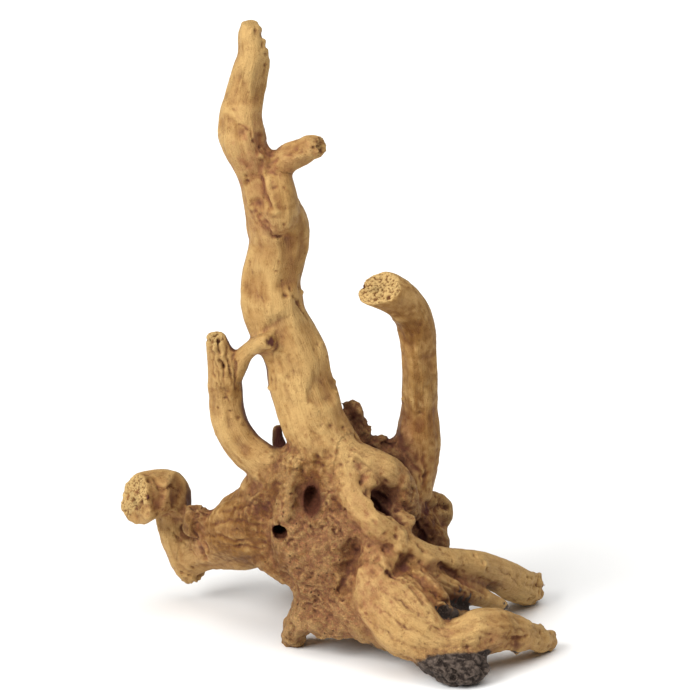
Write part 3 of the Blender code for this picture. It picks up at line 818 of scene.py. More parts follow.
def cracks(order, turn, run, width, length):
    """Thin cracks along one limb, deeper in some places than in others."""
    spots = round_and_along(order, turn, run, width, CRACK_APART, CRACK_LENGTH)
    depth = np.clip(CRACK_CONTRAST * waves(spots * CRACK_PATCHES, (9.0, 4.0, 2.0)), 0, 1)
    return -np.exp(-(waves(spots) / CRACK_WIDTH) ** 2) * depth * min(FLUTED[order], 1.0)


def torn(order, turn, run, width, length):
    """Grooves and lobes at the torn end of one limb."""
    name = list(LIMBS)[order]
    if name not in TORN_ENDS:
        return np.zeros(len(turn))
    reach, depth = TORN_ENDS[name]
    near_end = np.clip(1 - (length + width * TORN_START - run) / (reach + width * TORN_START), 0, 1)
    spots = np.stack([TORN_LOBES * np.cos(turn), TORN_LOBES * np.sin(turn), run / TORN_LENGTH], axis=1)
    swing = TORN_LEVEL + TORN_SWING * np.abs(waves(spots, (order, 0.0, 0.0)))
    return -depth * near_end ** TORN_FADE * swing


# %% [markdown]
# ## Puckers, pits and pores
# The root mass looks like the skin of a dried fruit: curly puckers a few millimetres wide,
# and between them small pits. The puckers are folds of a random wave whose spots are first
# pushed about by a second wave, which makes them curl. Voronoi cells place the pits, at
# most one to a cell: a random number of the cell decides if it has one and how large.
# The sawn faces are crumbly: a voronoi cell there is a small crumb with a gap round it.

# %% Relief of the mass and of the sawn faces
CURL_SIZE = 7.0
CURL_REACH = 3.2
PUCKER_SIZE = 4.6
PUCKER_DEPTH = 1.1
WRINKLE_SIZE = 2.5
WRINKLE_DEPTH = 0.5
LUMP_APART = 8.5
LUMP_HEIGHT = 1.1
PIT_APART = 6.5
PIT_RADIUS = 0.95
PIT_DEPTH = 1.5
PIT_SHARE = 0.32
KNOT_APART = 44.0
KNOT_RADIUS = 5.0
KNOT_DEPTH = 1.2
CRUMB_SIZE = 1.8
CRUMB_DEPTH = 0.75
GOUGE_SIZE = 7.0
GOUGE_DEPTH = 1.6
CELL_SPREAD = 7.31
MARK_VARIETY = 0.6
ROUGH_PATCH = 30
ROUGH_SPOT = 19
RING_WAVE = 1.9
SAWN_FACING = 0.55
SAWN_BLEND = 0.3
SAWN_SKIN = 2.2


def curled(places, size, reach):
    """Places pushed about by smooth random waves, so that patterns on them curl."""
    spots = places / (size * MM)
    push = np.stack([waves(spots, (11.0, 0.0, 0.0)), waves(spots, (0.0, 13.0, 0.0)),
                     waves(spots, (0.0, 0.0, 17.0))], axis=1)
    return places + push * reach * MM


def crumbs(places, size):
    """Rounded crumbs side by side: 1 on top of a crumb, 0 or less in the gaps."""
    nearest = np.array([noise.voronoi(spot)[0][0] for spot in (places / (size * MM)).tolist()])
    return 1 - (1.75 * nearest) ** 2


def cell_marks(places, apart, radius, share, shift):
    """Round marks, one in some of the cells: 1 in the middle, 0 outside, and the distance."""
    marks, away = np.zeros(len(places)), np.full(len(places), apart)
    for i, spot in enumerate((places / (apart * MM) + shift).tolist()):
        distances, centres = noise.voronoi(spot)
        luck = noise.cell(centres[0] * CELL_SPREAD)
        if luck < share:
            away[i] = distances[0] * apart
            size = radius * (MARK_VARIETY + luck / share * MARK_VARIETY)
            marks[i] = math.exp(-(away[i] / size) ** 2)
    return marks, away


def sawn_share(places, normals):
    """How much each point belongs to a sawn face, from 0 to 1."""
    share = np.zeros(len(places))
    for spot, facing, side in SAWN_ENDS.values():
        way = np.array(Vector(facing).normalized())
        offset = (places - np.array(seen_point(*spot))) / MM
        height = offset @ way
        beside = np.linalg.norm(offset - height[:, None] * way, axis=1)
        flat = np.clip((normals @ way - SAWN_FACING) / SAWN_BLEND, 0, 1)
        share = np.maximum(share, flat * (np.abs(height) < SAWN_SKIN) * (beside < side / 2))
    return share


def fine_relief(wood):
    """Fibres, cracks, torn ends, puckers, pits and pores."""
    places, normals = positions_of(wood.data), normals_of(wood.data)
    count = len(places)
    found = survey(places)
    knobbly = np.clip(shared(found, count, knobbliness), 0, 1)
    sawn = sawn_share(places, normals)
    bark = 1 - sawn
    lift = np.zeros(count)
    for depth, recipe in ((FIBRE_DEPTH, fibres), (CRACK_DEPTH, cracks), (1.0, torn)):
        lift += depth * bark * shared(found, count, recipe)
    curly = curled(places, CURL_SIZE, CURL_REACH)
    puckers = folds(curly, PUCKER_SIZE, 0.35, 1.9, (1.0, 7.0, 2.0))
    wrinkles = folds(curly, WRINKLE_SIZE, 0.3, 1.6, (4.0, 2.0, 8.0))
    rough = np.clip(knobbly + 0.35 * lumps(places, ROUGH_PATCH, (3.0, 3.0, 1.0)), 0.02, 1)
    rough *= np.clip(0.75 + 1.1 * lumps(places, ROUGH_SPOT, (6.0, 2.0, 9.0)), 0.35, 1)
    lift += rough * bark * (PUCKER_DEPTH * puckers + WRINKLE_DEPTH * wrinkles)
    lift += rough * bark * LUMP_HEIGHT * (crumbs(curly, LUMP_APART) - 0.5)
    pits, away = cell_marks(curly, PIT_APART, PIT_RADIUS, PIT_SHARE, (2.0, 5.0, 1.0))
    lift -= PIT_DEPTH * pits * bark * np.clip(rough * 1.6, 0.12, 1)
    knots, away = cell_marks(places, KNOT_APART, KNOT_RADIUS * 0.5, 0.5, (0.3, 0.9, 0.2))
    rings = np.cos(away * RING_WAVE) * np.exp(-(away / KNOT_RADIUS) ** 2)
    lift += bark * (0.12 * rings - KNOT_DEPTH * knots)
    gouges = np.clip(lumps(places, GOUGE_SIZE, (5.0, 2.0, 3.0)) - 0.12, 0, 1) * 2
    lift += sawn * (CRUMB_DEPTH * (crumbs(places, CRUMB_SIZE) - 0.6) - GOUGE_DEPTH * gouges)
    raise_skin(wood, lift)
    print("fine relief: from %.1f to %.1f mm" % (lift.min(), lift.max()))


fine_relief(wood)

# %% [markdown]
# ## Marks that this piece has
# Every root has its own story: a crack where two limbs grew apart, a knot, a groove. We
# draw them as strokes and dots at the pixels where the picture shows them. A ray from the
# camera finds where each lies on the skin, so a mark sits on the wood and not in the air.

# %% Strokes: points in the picture, half width and lift in millimetres
STROKES = {
    "crack round the tongue": [
        ([(252, 202), (257, 213), (260, 222), (267, 230), (273, 237), (281, 238)], 1.3, -2.2),
    ],
    "second crack beside it": [([(250, 206), (253, 216), (257, 224)], 0.8, -1.2)],
    "groove left of the tongue": [([(262, 162), (263, 180), (265, 193), (270, 207)], 2.0, -2.2)],
    "ridge of the tongue": [([(262, 157), (266, 172), (271, 187), (275, 200), (277, 213)], 2.2, 1.6)],
    "hollow at the bend": [([(250, 135), (262, 143), (270, 152)], 5.0, -2.0)],
    "scratch at the bend": [([(240, 127), (247, 130), (254, 135)], 0.9, -0.8)],
    "scar on the stub": [([(269, 168), (274, 163), (279, 160)], 1.2, -1.6)],
    "second scar on the stub": [([(285, 157), (291, 155), (296, 153)], 1.1, -1.5)],
    "scar under the stub": [([(272, 172), (277, 176)], 0.9, -0.9)],
    "facet edge of the top": [([(247, 50), (244, 80), (242, 108)], 2.4, 0.7)],
    "left branch furrows": [
        ([(211, 343), (213, 370), (218, 397)], 1.0, -1.8),
        ([(218, 341), (220, 356), (223, 367)], 1.2, -3.0),
        ([(222, 367), (224, 385), (228, 400)], 0.9, -1.5),
        ([(227, 348), (229, 366), (233, 384)], 1.0, -1.6),
        ([(214, 352), (217, 372), (221, 388)], 0.8, -1.5),
        ([(234, 356), (236, 372), (236, 388)], 1.0, -1.2),
    ],
    "trunk left edge furrow": [([(273, 352), (273, 372), (276, 388)], 1.2, -1.2)],
    "trunk ridge": [([(284, 378), (292, 391), (304, 402), (316, 410)], 2.4, 0.9)],
    "trunk scratches": [
        ([(262, 298), (267, 312), (272, 324)], 0.7, -0.6),
        ([(250, 262), (254, 280), (258, 298)], 0.8, -0.6),
    ],
    "crease right of the knot": [([(296, 300), (301, 309), (308, 318)], 1.4, -1.6)],
    "hook base grooves": [
        ([(397, 428), (400, 446), (410, 462), (424, 478)], 1.4, -0.9),
        ([(423, 455), (427, 470), (424, 486)], 1.2, -1.6),
    ],
    "hook hollow": [([(405, 308), (410, 318), (414, 330)], 4.0, -0.9)],
    "under the knob's shoulder": [([(152, 480), (160, 492), (170, 488), (178, 492)], 1.5, -2.0)],
    "knob creases": [
        ([(155, 516), (163, 511), (172, 515)], 0.8, -1.0),
        ([(157, 521), (165, 516), (174, 522)], 0.8, -1.0),
        ([(166, 505), (174, 509), (180, 517)], 0.8, -0.9),
    ],
    "knob growth rings": [
        ([(124, 516), (135, 519), (146, 515)], 0.8, -0.7),
        ([(122, 508), (133, 512), (144, 509)], 0.7, -0.6),
    ],
    "diagonal crack of the elbow": [([(166, 530), (178, 543), (190, 554), (196, 562)], 0.7, -1.2)],
    "crevice behind the elbow": [([(191, 508), (193, 535), (198, 552), (203, 562)], 2.4, -3.2)],
    "elbow furrows": [
        ([(207, 527), (226, 522), (241, 522), (262, 527)], 1.2, -1.3),
        ([(203, 538), (216, 536), (228, 541), (244, 541), (264, 543)], 1.2, -2.0),
        ([(206, 551), (222, 549), (240, 547), (264, 549)], 1.1, -1.5),
        ([(232, 530), (245, 531), (262, 534)], 0.9, -1.1),
        ([(222, 513), (238, 508), (250, 505)], 1.0, -1.1),
        ([(214, 545), (235, 546), (256, 545)], 0.8, -0.8),
    ],
    "purple valley": [([(268, 500), (262, 508), (258, 518)], 3.0, -1.6)],
    "valley wrinkles": [
        ([(248, 503), (256, 509), (264, 508)], 0.9, -1.3), ([(254, 500), (261, 505)], 0.8, -1.2),
    ],
    "under the shoulder ridge": [([(262, 495), (274, 486), (284, 480)], 2.2, -1.4)],
    "side of the cut root": [([(432, 592), (440, 599), (449, 602)], 1.1, -1.8)],
    "valley below the holes": [([(355, 545), (356, 557), (348, 570), (341, 585), (338, 598)], 1.6, -1.4)],
    "pocket beside the front root": [([(410, 558), (400, 566), (394, 574)], 2.6, -2.4)],
    "edge of the pocket": [([(388, 571), (396, 578), (408, 580)], 1.1, -1.6)],
    "groove of the right root": [([(438, 564), (446, 571), (456, 577)], 1.3, -2.0)],
    "stub lobe grooves": [
        ([(315, 143), (320, 145), (326, 146)], 0.8, -1.8),
        ([(314, 151), (320, 152), (326, 153)], 0.7, -1.4),
    ],
    "root end grooves": [
        ([(531, 580), (538, 580), (546, 581)], 0.8, -1.4),
        ([(529, 587), (536, 589), (543, 591)], 1.0, -1.8),
        ([(534, 597), (539, 603), (541, 609)], 0.9, -1.3),
    ],
    "upper ridge": [([(354, 454), (366, 461), (373, 470), (370, 480)], 1.8, 1.2)],
    "fold above the cave": [([(361, 483), (362, 476), (368, 470)], 1.4, -1.2)],
    "second ridge": [([(341, 492), (350, 508), (364, 519), (376, 521)], 2.4, 1.0)],
    "lobe right of the cave": [([(398, 484), (408, 488), (411, 498)], 2.2, 0.9)],
    "slot in that lobe": [([(413, 486), (414, 493), (412, 500)], 1.2, -2.6)],
    "edge of the cave": [([(364, 491), (372, 499), (380, 511), (391, 518), (404, 523)], 1.2, -2.2)],
    "striated wedge": [
        ([(416, 512), (423, 524), (432, 536)], 0.8, -1.3),
        ([(421, 510), (430, 522), (440, 536)], 0.8, -1.2),
        ([(427, 512), (436, 524), (445, 538)], 0.8, -1.1),
    ],
    "flow lines": [
        ([(372, 603), (398, 622), (428, 637), (462, 640)], 0.9, -0.6),
        ([(382, 589), (405, 604), (424, 620), (440, 630)], 0.8, -0.6),
        ([(358, 613), (388, 634), (420, 648), (448, 651)], 0.9, -0.5),
        ([(392, 583), (412, 597), (428, 614)], 0.9, -0.6),
        ([(385, 612), (408, 628), (440, 644), (470, 646)], 0.9, -0.6),
        ([(378, 628), (402, 643), (430, 654)], 0.9, -0.6),
        ([(468, 618), (495, 624), (525, 630)], 1.4, -0.9),
        ([(450, 632), (470, 627), (490, 634)], 1.1, -0.9),
        ([(395, 596), (416, 611), (436, 627), (452, 628)], 0.8, -0.5),
    ],
    "front root tip groove": [([(505, 636), (517, 639), (527, 636)], 1.8, -1.8)],
    "rim left of the oval hole": [([(299, 457), (293, 478), (287, 500), (286, 518)], 3.0, 1.4)],
    "creases in the mass": [
        ([(330, 515), (338, 523), (341, 531)], 0.9, -1.4),
        ([(303, 523), (313, 529), (326, 527)], 0.8, -0.9),
        ([(300, 548), (318, 552), (334, 546)], 0.9, -0.9),
        ([(296, 575), (306, 566), (322, 562)], 0.9, -0.9),
    ],
    "foot furrow": [([(291, 625), (293, 632), (290, 641)], 1.3, -1.8)],
    "foot notch": [([(296, 646), (300, 640), (306, 638)], 1.3, -1.6)],
    "dark base furrows": [
        ([(470, 655), (480, 665), (488, 676)], 1.2, -1.6),
        ([(440, 662), (452, 668), (460, 676)], 1.4, -1.8),
        ([(425, 664), (440, 672), (448, 681)], 1.1, -1.3),
    ],
    "between the rear knobs": [([(434, 509), (441, 507), (449, 509)], 1.0, -1.8)],
    "in the upper rear knob": [([(440, 497), (441, 503), (437, 508)], 0.8, -1.4)],
    "behind the rear knobs": [([(427, 503), (430, 513), (438, 522), (443, 528)], 1.2, -2.4)],
    "more of the striated wedge": [([(412, 518), (418, 528), (426, 538)], 0.8, -1.2)],
    "fork at the hook": [([(420, 478), (422, 486), (420, 494)], 1.0, -1.4)],
    "hook crevice": [([(404, 452), (410, 446), (412, 440)], 0.9, -0.7)],
    "behind the small root tip": [([(408, 516), (416, 520), (418, 528)], 1.0, -1.6)],
    "under the lobe": [([(396, 510), (404, 506), (410, 509)], 1.0, -1.6)],
    "branchlet end": [([(275, 333), (278, 341), (275, 351)], 1.0, -1.8)],
    "funnel flecks": [
        ([(315, 454), (320, 456), (327, 457)], 0.8, -1.0),
        ([(317, 462), (321, 465), (318, 470)], 0.8, -1.2), ([(324, 461), (325, 467)], 0.7, -1.0),
    ],
    "mass curls": [
        ([(296, 533), (303, 524), (309, 521)], 0.8, -0.9),
        ([(310, 527), (315, 533), (309, 538)], 0.8, -0.9),
        ([(320, 534), (327, 533), (331, 526)], 0.8, -0.8), ([(326, 519), (329, 524)], 0.8, -0.9),
        ([(334, 530), (339, 536), (343, 533)], 0.8, -1.1),
    ],
    "root seam": [([(418, 545), (424, 552), (432, 555)], 1.4, -0.9)],
    "wrinkles of the right root": [
        ([(478, 578), (492, 583), (506, 592)], 0.9, -0.8),
        ([(500, 572), (512, 578), (522, 590)], 0.9, -0.8),
    ],
    "middle root wrinkles": [
        ([(430, 574), (447, 585), (465, 594)], 1.0, -0.9),
        ([(452, 582), (470, 591), (488, 600)], 0.9, -0.9),
    ],
}
print(sum(len(group) for group in STROKES.values()), "strokes")

# %% Dots: pixel in the picture, radius and lift in millimetres
DOTS = [
    # The top of the trunk, down to the knot half way
    (250, 32, 1.0, -1.2), (257, 35, 2.2, -1.6), (263, 38, 1.8, -1.8), (264, 47, 1.5, -1.8),
    (266, 57, 1.2, -1.2), (266, 66, 1.2, -1.0), (268, 53, 1.5, 0.8), (265, 43, 1.4, 0.8),
    (236, 112, 0.9, -0.8), (250, 94, 0.8, -0.6), (255, 142, 1.4, -1.6), (262, 147, 1.3, -1.5),
    (258, 151, 1.1, -1.2), (268, 150, 1.1, -1.2), (252, 137, 1.2, -1.2), (264, 139, 1.0, -1.0),
    (248, 184, 2.0, -2.2), (246, 178, 1.1, -1.0), (260, 217, 1.2, -1.2), (274, 219, 1.1, -1.2),
    (275, 188, 1.0, -1.0), (285, 189, 1.0, -1.0), (286, 209, 1.0, -0.9), (283, 226, 1.0, -1.0),
    (268, 214, 1.0, -0.9), (248, 168, 1.1, -0.9), (286, 295, 1.6, -2.0), (293, 298, 1.4, -1.8),
    (291, 289, 1.1, -1.2), (299, 286, 1.6, -2.0), (301, 293, 1.6, 1.6), (281, 281, 0.9, -0.9),
    (279, 263, 0.9, -0.9), (276, 272, 0.9, -0.8),
    # The end of the side stub
    (316, 140, 1.5, -2.0), (314, 149, 1.5, -2.0), (320, 153, 1.3, -1.6), (323, 145, 1.3, -1.4),
    (319, 137, 1.8, 1.0), (325, 149, 1.8, 1.2),
    # The lower trunk
    (322, 344, 1.4, 1.0), (331, 364, 1.5, 1.2), (334, 381, 1.5, 1.2), (336, 392, 1.4, 1.0),
    (328, 356, 1.2, -1.2), (333, 373, 1.2, -1.2), (336, 387, 1.1, -1.2), (270, 388, 1.8, 1.8),
    (271, 380, 1.2, -1.2), (317, 344, 1.0, -0.9), (314, 350, 0.9, -0.8), (331, 426, 1.6, -1.2),
    (322, 424, 1.1, -0.9), (280, 366, 0.9, -0.8), (284, 346, 0.9, -0.8), (303, 403, 0.8, -0.7),
    (289, 386, 0.9, -0.8), (313, 414, 0.9, -0.7),
    # The left branch and the branchlet
    (225, 398, 1.0, -1.2), (231, 412, 1.1, -1.2), (238, 418, 1.2, -1.3), (218, 408, 0.9, -1.0),
    (243, 425, 1.1, -1.2), (213, 337, 1.3, -1.4), (222, 338, 1.1, -1.2), (217, 333, 1.0, -1.0),
    # The hook
    (363, 286, 2.2, -1.8), (374, 298, 1.3, -1.6), (381, 296, 1.3, -1.7), (389, 298, 1.3, -1.7),
    (383, 291, 0.9, -1.2), (422, 413, 1.1, -1.1), (406, 405, 1.0, -0.9), (403, 398, 1.2, 1.0),
    (412, 336, 1.3, -0.8), (420, 341, 1.0, -0.7),
    # The flange between trunk and hook
    (352, 418, 1.6, -1.8), (346, 408, 1.1, -1.2), (356, 437, 1.8, -1.8), (388, 444, 2.6, -2.8),
    (344, 428, 1.2, -1.3), (359, 412, 1.6, 1.0), (378, 440, 1.3, -1.0), (368, 437, 1.4, 1.0),
    # The sawn knob and the elbow
    (134, 492, 2.2, -2.8), (130, 501, 2.0, -2.8), (139, 503, 2.0, -2.8), (147, 483, 1.4, -1.5),
    (126, 512, 1.1, -1.2), (148, 498, 1.6, -1.6), (137, 483, 1.1, -1.2), (152, 503, 1.4, -1.4),
    (160, 499, 1.0, -1.0), (175, 498, 1.0, -1.0), (169, 478, 1.2, -0.9), (179, 577, 1.4, -1.5),
    (190, 571, 1.3, -1.4), (198, 579, 1.6, -2.0), (205, 575, 1.4, -1.8), (186, 580, 1.2, -1.2),
    (195, 513, 1.2, -1.2), (204, 511, 1.3, -1.4), (206, 522, 1.0, -1.1), (198, 522, 1.0, -1.0),
    # The root mass
    (318, 458, 1.8, -1.4), (322, 466, 1.6, -1.5), (314, 463, 1.3, -1.3), (341, 466, 1.4, -1.3),
    (347, 462, 1.2, -1.2), (342, 474, 1.2, -1.4), (362, 482, 1.6, -2.2), (378, 483, 1.3, -1.5),
    (386, 481, 1.2, -1.4), (374, 521, 1.5, -2.0), (368, 493, 2.0, -2.0), (344, 511, 2.0, -2.4),
    (334, 500, 1.2, -1.2), (343, 484, 1.2, -1.0), (291, 494, 1.0, -1.8), (285, 490, 1.1, -1.3),
    (284, 511, 1.2, -1.3), (295, 508, 1.0, -1.2), (278, 504, 1.3, -1.3), (290, 520, 1.2, -1.3),
    (291, 462, 1.2, -1.2), (272, 456, 1.1, -1.4), (299, 459, 1.1, -1.2), (303, 472, 1.1, -1.4),
    (295, 470, 1.2, -1.3), (335, 529, 1.0, -1.6), (338, 532, 0.9, -1.4), (322, 529, 0.9, -1.3),
    (355, 538, 1.0, -1.6), (358, 550, 1.5, -2.0), (352, 572, 1.4, -1.6), (345, 580, 1.3, -1.6),
    (338, 590, 1.6, -1.8), (341, 600, 1.3, -1.5), (335, 561, 1.2, -1.8), (300, 569, 1.0, -1.4),
    (312, 574, 1.0, -1.5), (328, 575, 0.9, -1.2), (295, 557, 2.6, -1.8), (306, 545, 0.9, -1.2),
    (288, 545, 1.2, -1.4), (316, 546, 0.9, -1.1), (305, 596, 0.9, -1.0), (377, 558, 1.6, -1.8),
    (369, 545, 1.5, -1.2), (383, 549, 1.3, -1.3), (392, 546, 1.2, -1.2), (372, 572, 2.4, -1.6),
    (360, 566, 1.2, -1.2), (384, 534, 1.5, -1.4), (397, 537, 1.6, -1.6), (409, 535, 1.6, -1.4),
    (391, 565, 1.3, -1.6), (402, 556, 1.6, -1.6), (316, 602, 1.2, -1.3), (313, 612, 1.3, -1.5),
    (310, 618, 1.1, -1.3), (325, 612, 1.0, -1.0), (360, 607, 1.0, -1.3), (348, 622, 1.0, -1.1),
    (335, 630, 1.1, -1.1), (366, 614, 1.1, -1.1), (290, 624, 1.4, -1.6), (293, 629, 1.1, -1.5),
    (285, 640, 1.4, -1.6), (292, 642, 1.3, -1.4), (415, 492, 1.6, -2.0), (406, 510, 1.3, -1.5),
    (397, 510, 1.0, -1.2), (384, 503, 1.2, -1.2),
    # The striated wedge, the rear knob
    (434, 543, 1.8, -2.6), (419, 516, 1.4, -1.6), (428, 528, 1.2, -1.6), (442, 503, 2.4, -1.8),
    (432, 511, 1.6, -1.8), (444, 518, 1.5, -1.2), (437, 497, 1.3, -1.2),
    # The right root and the middle root
    (453, 563, 1.0, -1.4), (476, 557, 1.8, -0.8), (476, 557, 0.8, -1.2), (484, 564, 1.3, -1.6),
    (488, 571, 1.7, -2.4), (486, 567, 3.4, 1.0), (531, 580, 1.6, -1.6), (542, 585, 1.6, -1.8),
    (538, 576, 1.8, 1.0), (533, 603, 2.0, -2.2), (540, 609, 1.4, -1.3), (543, 597, 1.5, -1.6),
    (541, 590, 1.4, -1.8), (526, 604, 1.2, -1.2), (422, 570, 1.2, -1.6), (439, 577, 1.0, -1.1),
    (420, 562, 1.3, -1.2), (424, 551, 1.4, -1.2),
    # The front root
    (429, 612, 1.1, -1.5), (427, 617, 0.9, -1.2), (510, 632, 1.6, -1.4), (516, 616, 1.5, -1.2),
    (541, 633, 1.5, -2.0), (540, 645, 1.5, -1.4), (552, 634, 1.4, -1.3), (549, 648, 1.3, -1.3),
    (527, 635, 1.2, -1.3), (480, 638, 1.0, -0.9), (492, 640, 1.4, -1.0), (405, 577, 1.0, -1.2),
    (411, 575, 0.9, -1.1), (487, 660, 2.2, -2.0), (455, 674, 3.0, -3.2), (446, 668, 1.6, -1.8),
    (470, 668, 1.6, -1.6), (430, 668, 1.4, -1.4), (464, 680, 1.6, -1.6),
]
print(len(DOTS), "dots")


# %% Carve the strokes and the dots
WOBBLE_SIZE = 5.0
WOBBLE_REACH = 1.6
FADE_SIZE = 11.0
FADE_MIDDLE = 0.85
FADE_SWING = 1.2
LOWEST = -6
HIGHEST = 3


def carve_marks(wood):
    """Raise or lower the skin at every stroke and dot, with wobbly outlines and uneven depth."""
    places = positions_of(wood.data)
    count = len(places)
    tree = skin_tree(wood.data)
    finder = point_finder(curled(places, WOBBLE_SIZE, WOBBLE_REACH))
    swing = FADE_SWING * lumps(places, FADE_SIZE, (8.0, 1.0, 6.0))
    uneven = np.clip(FADE_MIDDLE + swing, 0.4, 1.3)
    lift = np.zeros(count)
    for points, width, height in (stroke for group in STROKES.values() for stroke in group):
        lift += height * uneven * bell(finder, count, stroke_points(tree, points), width)
    missed = 0
    for x, y, radius, height in DOTS:
        spot = on_the_skin(tree, x, y)
        if spot is None:
            missed += 1
        else:
            lift += height * bell(finder, count, [spot], radius)
    raise_skin(wood, np.clip(lift, LOWEST, HIGHEST))
    print("marks carved, dots off the wood:", missed)


carve_marks(wood)

# %% [markdown]
# ## Light enough to use, and standing level
# The skin is thinned: flat stretches need few triangles, and the detail keeps most of its
# own. Then the feet are cut level with the ground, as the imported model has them.

# %% Thin the skin and level the feet
TRIANGLE_BUDGET = 190000
GROUND_SIZE = 1.0
GROUND_DEPTH = 0.2

triangles = sum(len(face.vertices) - 2 for face in wood.data.polygons)
baked(wood, "DECIMATE", ratio=TRIANGLE_BUDGET / triangles)
ground = Matrix.Diagonal((GROUND_SIZE, GROUND_SIZE, GROUND_DEPTH, 1.0))
cut_away(wood, lambda shape: bmesh.ops.create_cube(shape, size=1.0),
         Matrix.Translation((0, 0, -GROUND_DEPTH / 2)) @ ground)
for face in wood.data.polygons:
    face.use_smooth = True
print("finished skin:", len(wood.data.vertices), "points,",
      sum(len(face.vertices) - 2 for face in wood.data.polygons), "triangles")

# %% [markdown]
# ## What the colours need to know
# The wood is pale gold on its edges and crests, which is painted highlight, pinkish brown
# where it is sheltered and nearly purple deep in the hollows, which is painted shade. So
# the colour follows the shape. We measure the shape once and keep the answers on the skin:
# how far a point lies below its surroundings, how open it is to the sky, and which kind of
# wood it belongs to.

# %% Measure hollows and shelter
RAYS = 14
RAY_REACH = 40 * MM
RAY_START = 0.6 * MM
RAY_SEED = 4
OUTWARD = 1.05


def neighbour_mean(values, links, rounds):
    """Average the values of neighbouring skin points, a number of times."""
    a, b = links[:, 0], links[:, 1]
    count = len(values)
    degree = np.bincount(links.ravel(), minlength=count)
    for _ in range(rounds):
        near = [np.bincount(a, column[b], count) + np.bincount(b, column[a], count)
                for column in values.T]
        values = 0.5 * values + 0.5 * np.stack(near, axis=1) / degree[:, None]
    return values


def links_of(mesh):
    """Pairs of neighbouring points."""
    flat = np.empty(len(mesh.edges) * 2, dtype=np.int32)
    mesh.edges.foreach_get("vertices", flat)
    return flat.reshape(-1, 2)


def depth_below(places, normals, links, rounds):
    """How deep each point lies below its smoothed surroundings, in millimetres."""
    return ((neighbour_mean(places, links, rounds) - places) * normals).sum(axis=1) / MM


def shelter_of(mesh, places, normals):
    """How much of its own wood each point sees instead of the open, from 0 to 1."""
    tree = skin_tree(mesh)
    rng = np.random.default_rng(RAY_SEED)
    ways = rng.normal(size=(RAYS, 3))
    ways /= np.linalg.norm(ways, axis=1)[:, None]
    hidden = np.zeros(len(places))
    for i, (place, normal) in enumerate(zip(places, normals)):
        start = Vector(place + normal * RAY_START)
        for way in ways + normal * OUTWARD:
            if tree.ray_cast(start, Vector(way), RAY_REACH)[0] is not None:
                hidden[i] += 1 / RAYS
    return hidden


# %% [markdown]
# ## Dabs of colour, painted light and painted shade
# Some colours don't follow the shape: a pink flush along the trunk and the nearly black
# base. Other dabs paint light and shade: painted shade on the hook, the elbow root, the
# right sides and the hollows, painted light where the mass shades the right root, the twig
# and the rear knobs, and painted shadow, as dark as the base, in the gaps between the lower
# roots. All are soft round dabs, again at the pixels where the picture shows them, and a
# random wave makes the edge of every dab wander.

# %% Dabs of colour: pixel in the picture, radius in millimetres, strength
# Pink flush of the wood; the dabs in hollows and between the roots are painted shade
PINK_AND_SHADE_DABS = [
    (258, 145, 11, 1.0), (250, 165, 9, 0.8), (262, 190, 8, 0.7), (268, 225, 10, 0.9), (300, 560, 24, 0.5),
    (335, 525, 20, 0.5), (340, 605, 20, 0.5), (372, 590, 12, 0.4), (290, 535, 12, 0.5),
    (290, 160, 8, 0.4), (310, 150, 6, 0.3), (350, 415, 12, 0.9), (378, 440, 10, 0.7), (408, 440, 13, 0.8),
    (415, 465, 10, 0.9), (160, 500, 9, 0.7), (200, 515, 8, 0.7), (262, 512, 11, 1.0), (240, 520, 9, 0.3),
    (200, 550, 8, 0.8), (320, 530, 18, 0.9), (345, 560, 16, 0.8), (310, 570, 18, 0.7),
    (330, 595, 16, 0.6), (380, 555, 12, 0.5), (290, 500, 8, 0.5), (395, 500, 14, 1.0),
    (430, 525, 12, 1.0), (440, 585, 14, 0.8), (470, 592, 10, 0.7), (492, 590, 10, 0.5),
    (430, 595, 10, 0.7), (495, 640, 9, 0.6), (518, 642, 7, 0.6), (325, 615, 10, 0.3),
]
# Pale tone of the wood, and painted light where the right root, the twig and the rear knobs lie in shade
GOLD_AND_LIGHT_DABS = [
    (244, 60, 14, 0.5), (274, 319, 7, 0.7), (232, 95, 12, 0.4), (256, 262, 12, 0.5), (225, 140, 8, 0.7),
    (268, 185, 5, 0.8), (310, 365, 22, 0.6), (300, 420, 18, 0.6), (345, 445, 12, 0.9),
    (365, 460, 12, 1.0), (388, 475, 9, 0.7), (352, 495, 9, 0.9), (372, 515, 10, 1.0), (400, 530, 8, 0.7),
    (425, 550, 9, 0.8), (465, 558, 12, 0.7), (495, 568, 12, 0.6), (430, 625, 22, 0.9),
    (395, 600, 14, 0.9), (470, 625, 12, 0.8), (285, 462, 10, 0.7), (255, 480, 10, 0.6),
    (290, 510, 7, 0.6), (220, 430, 10, 0.5), (170, 545, 12, 0.4), (360, 625, 12, 0.6),
    (310, 630, 10, 0.5), (250, 348, 8, 0.6), (520, 625, 9, 0.5), (150, 472, 7, 0.5), (278, 438, 7, 1.0),
    (436, 502, 5, 0.7), (443, 517, 6, 0.7), (480, 563, 10, 0.9), (512, 572, 13, 1.0), (532, 588, 13, 1.0),
    (505, 585, 10, 0.8), (352, 418, 8, 0.5),
]
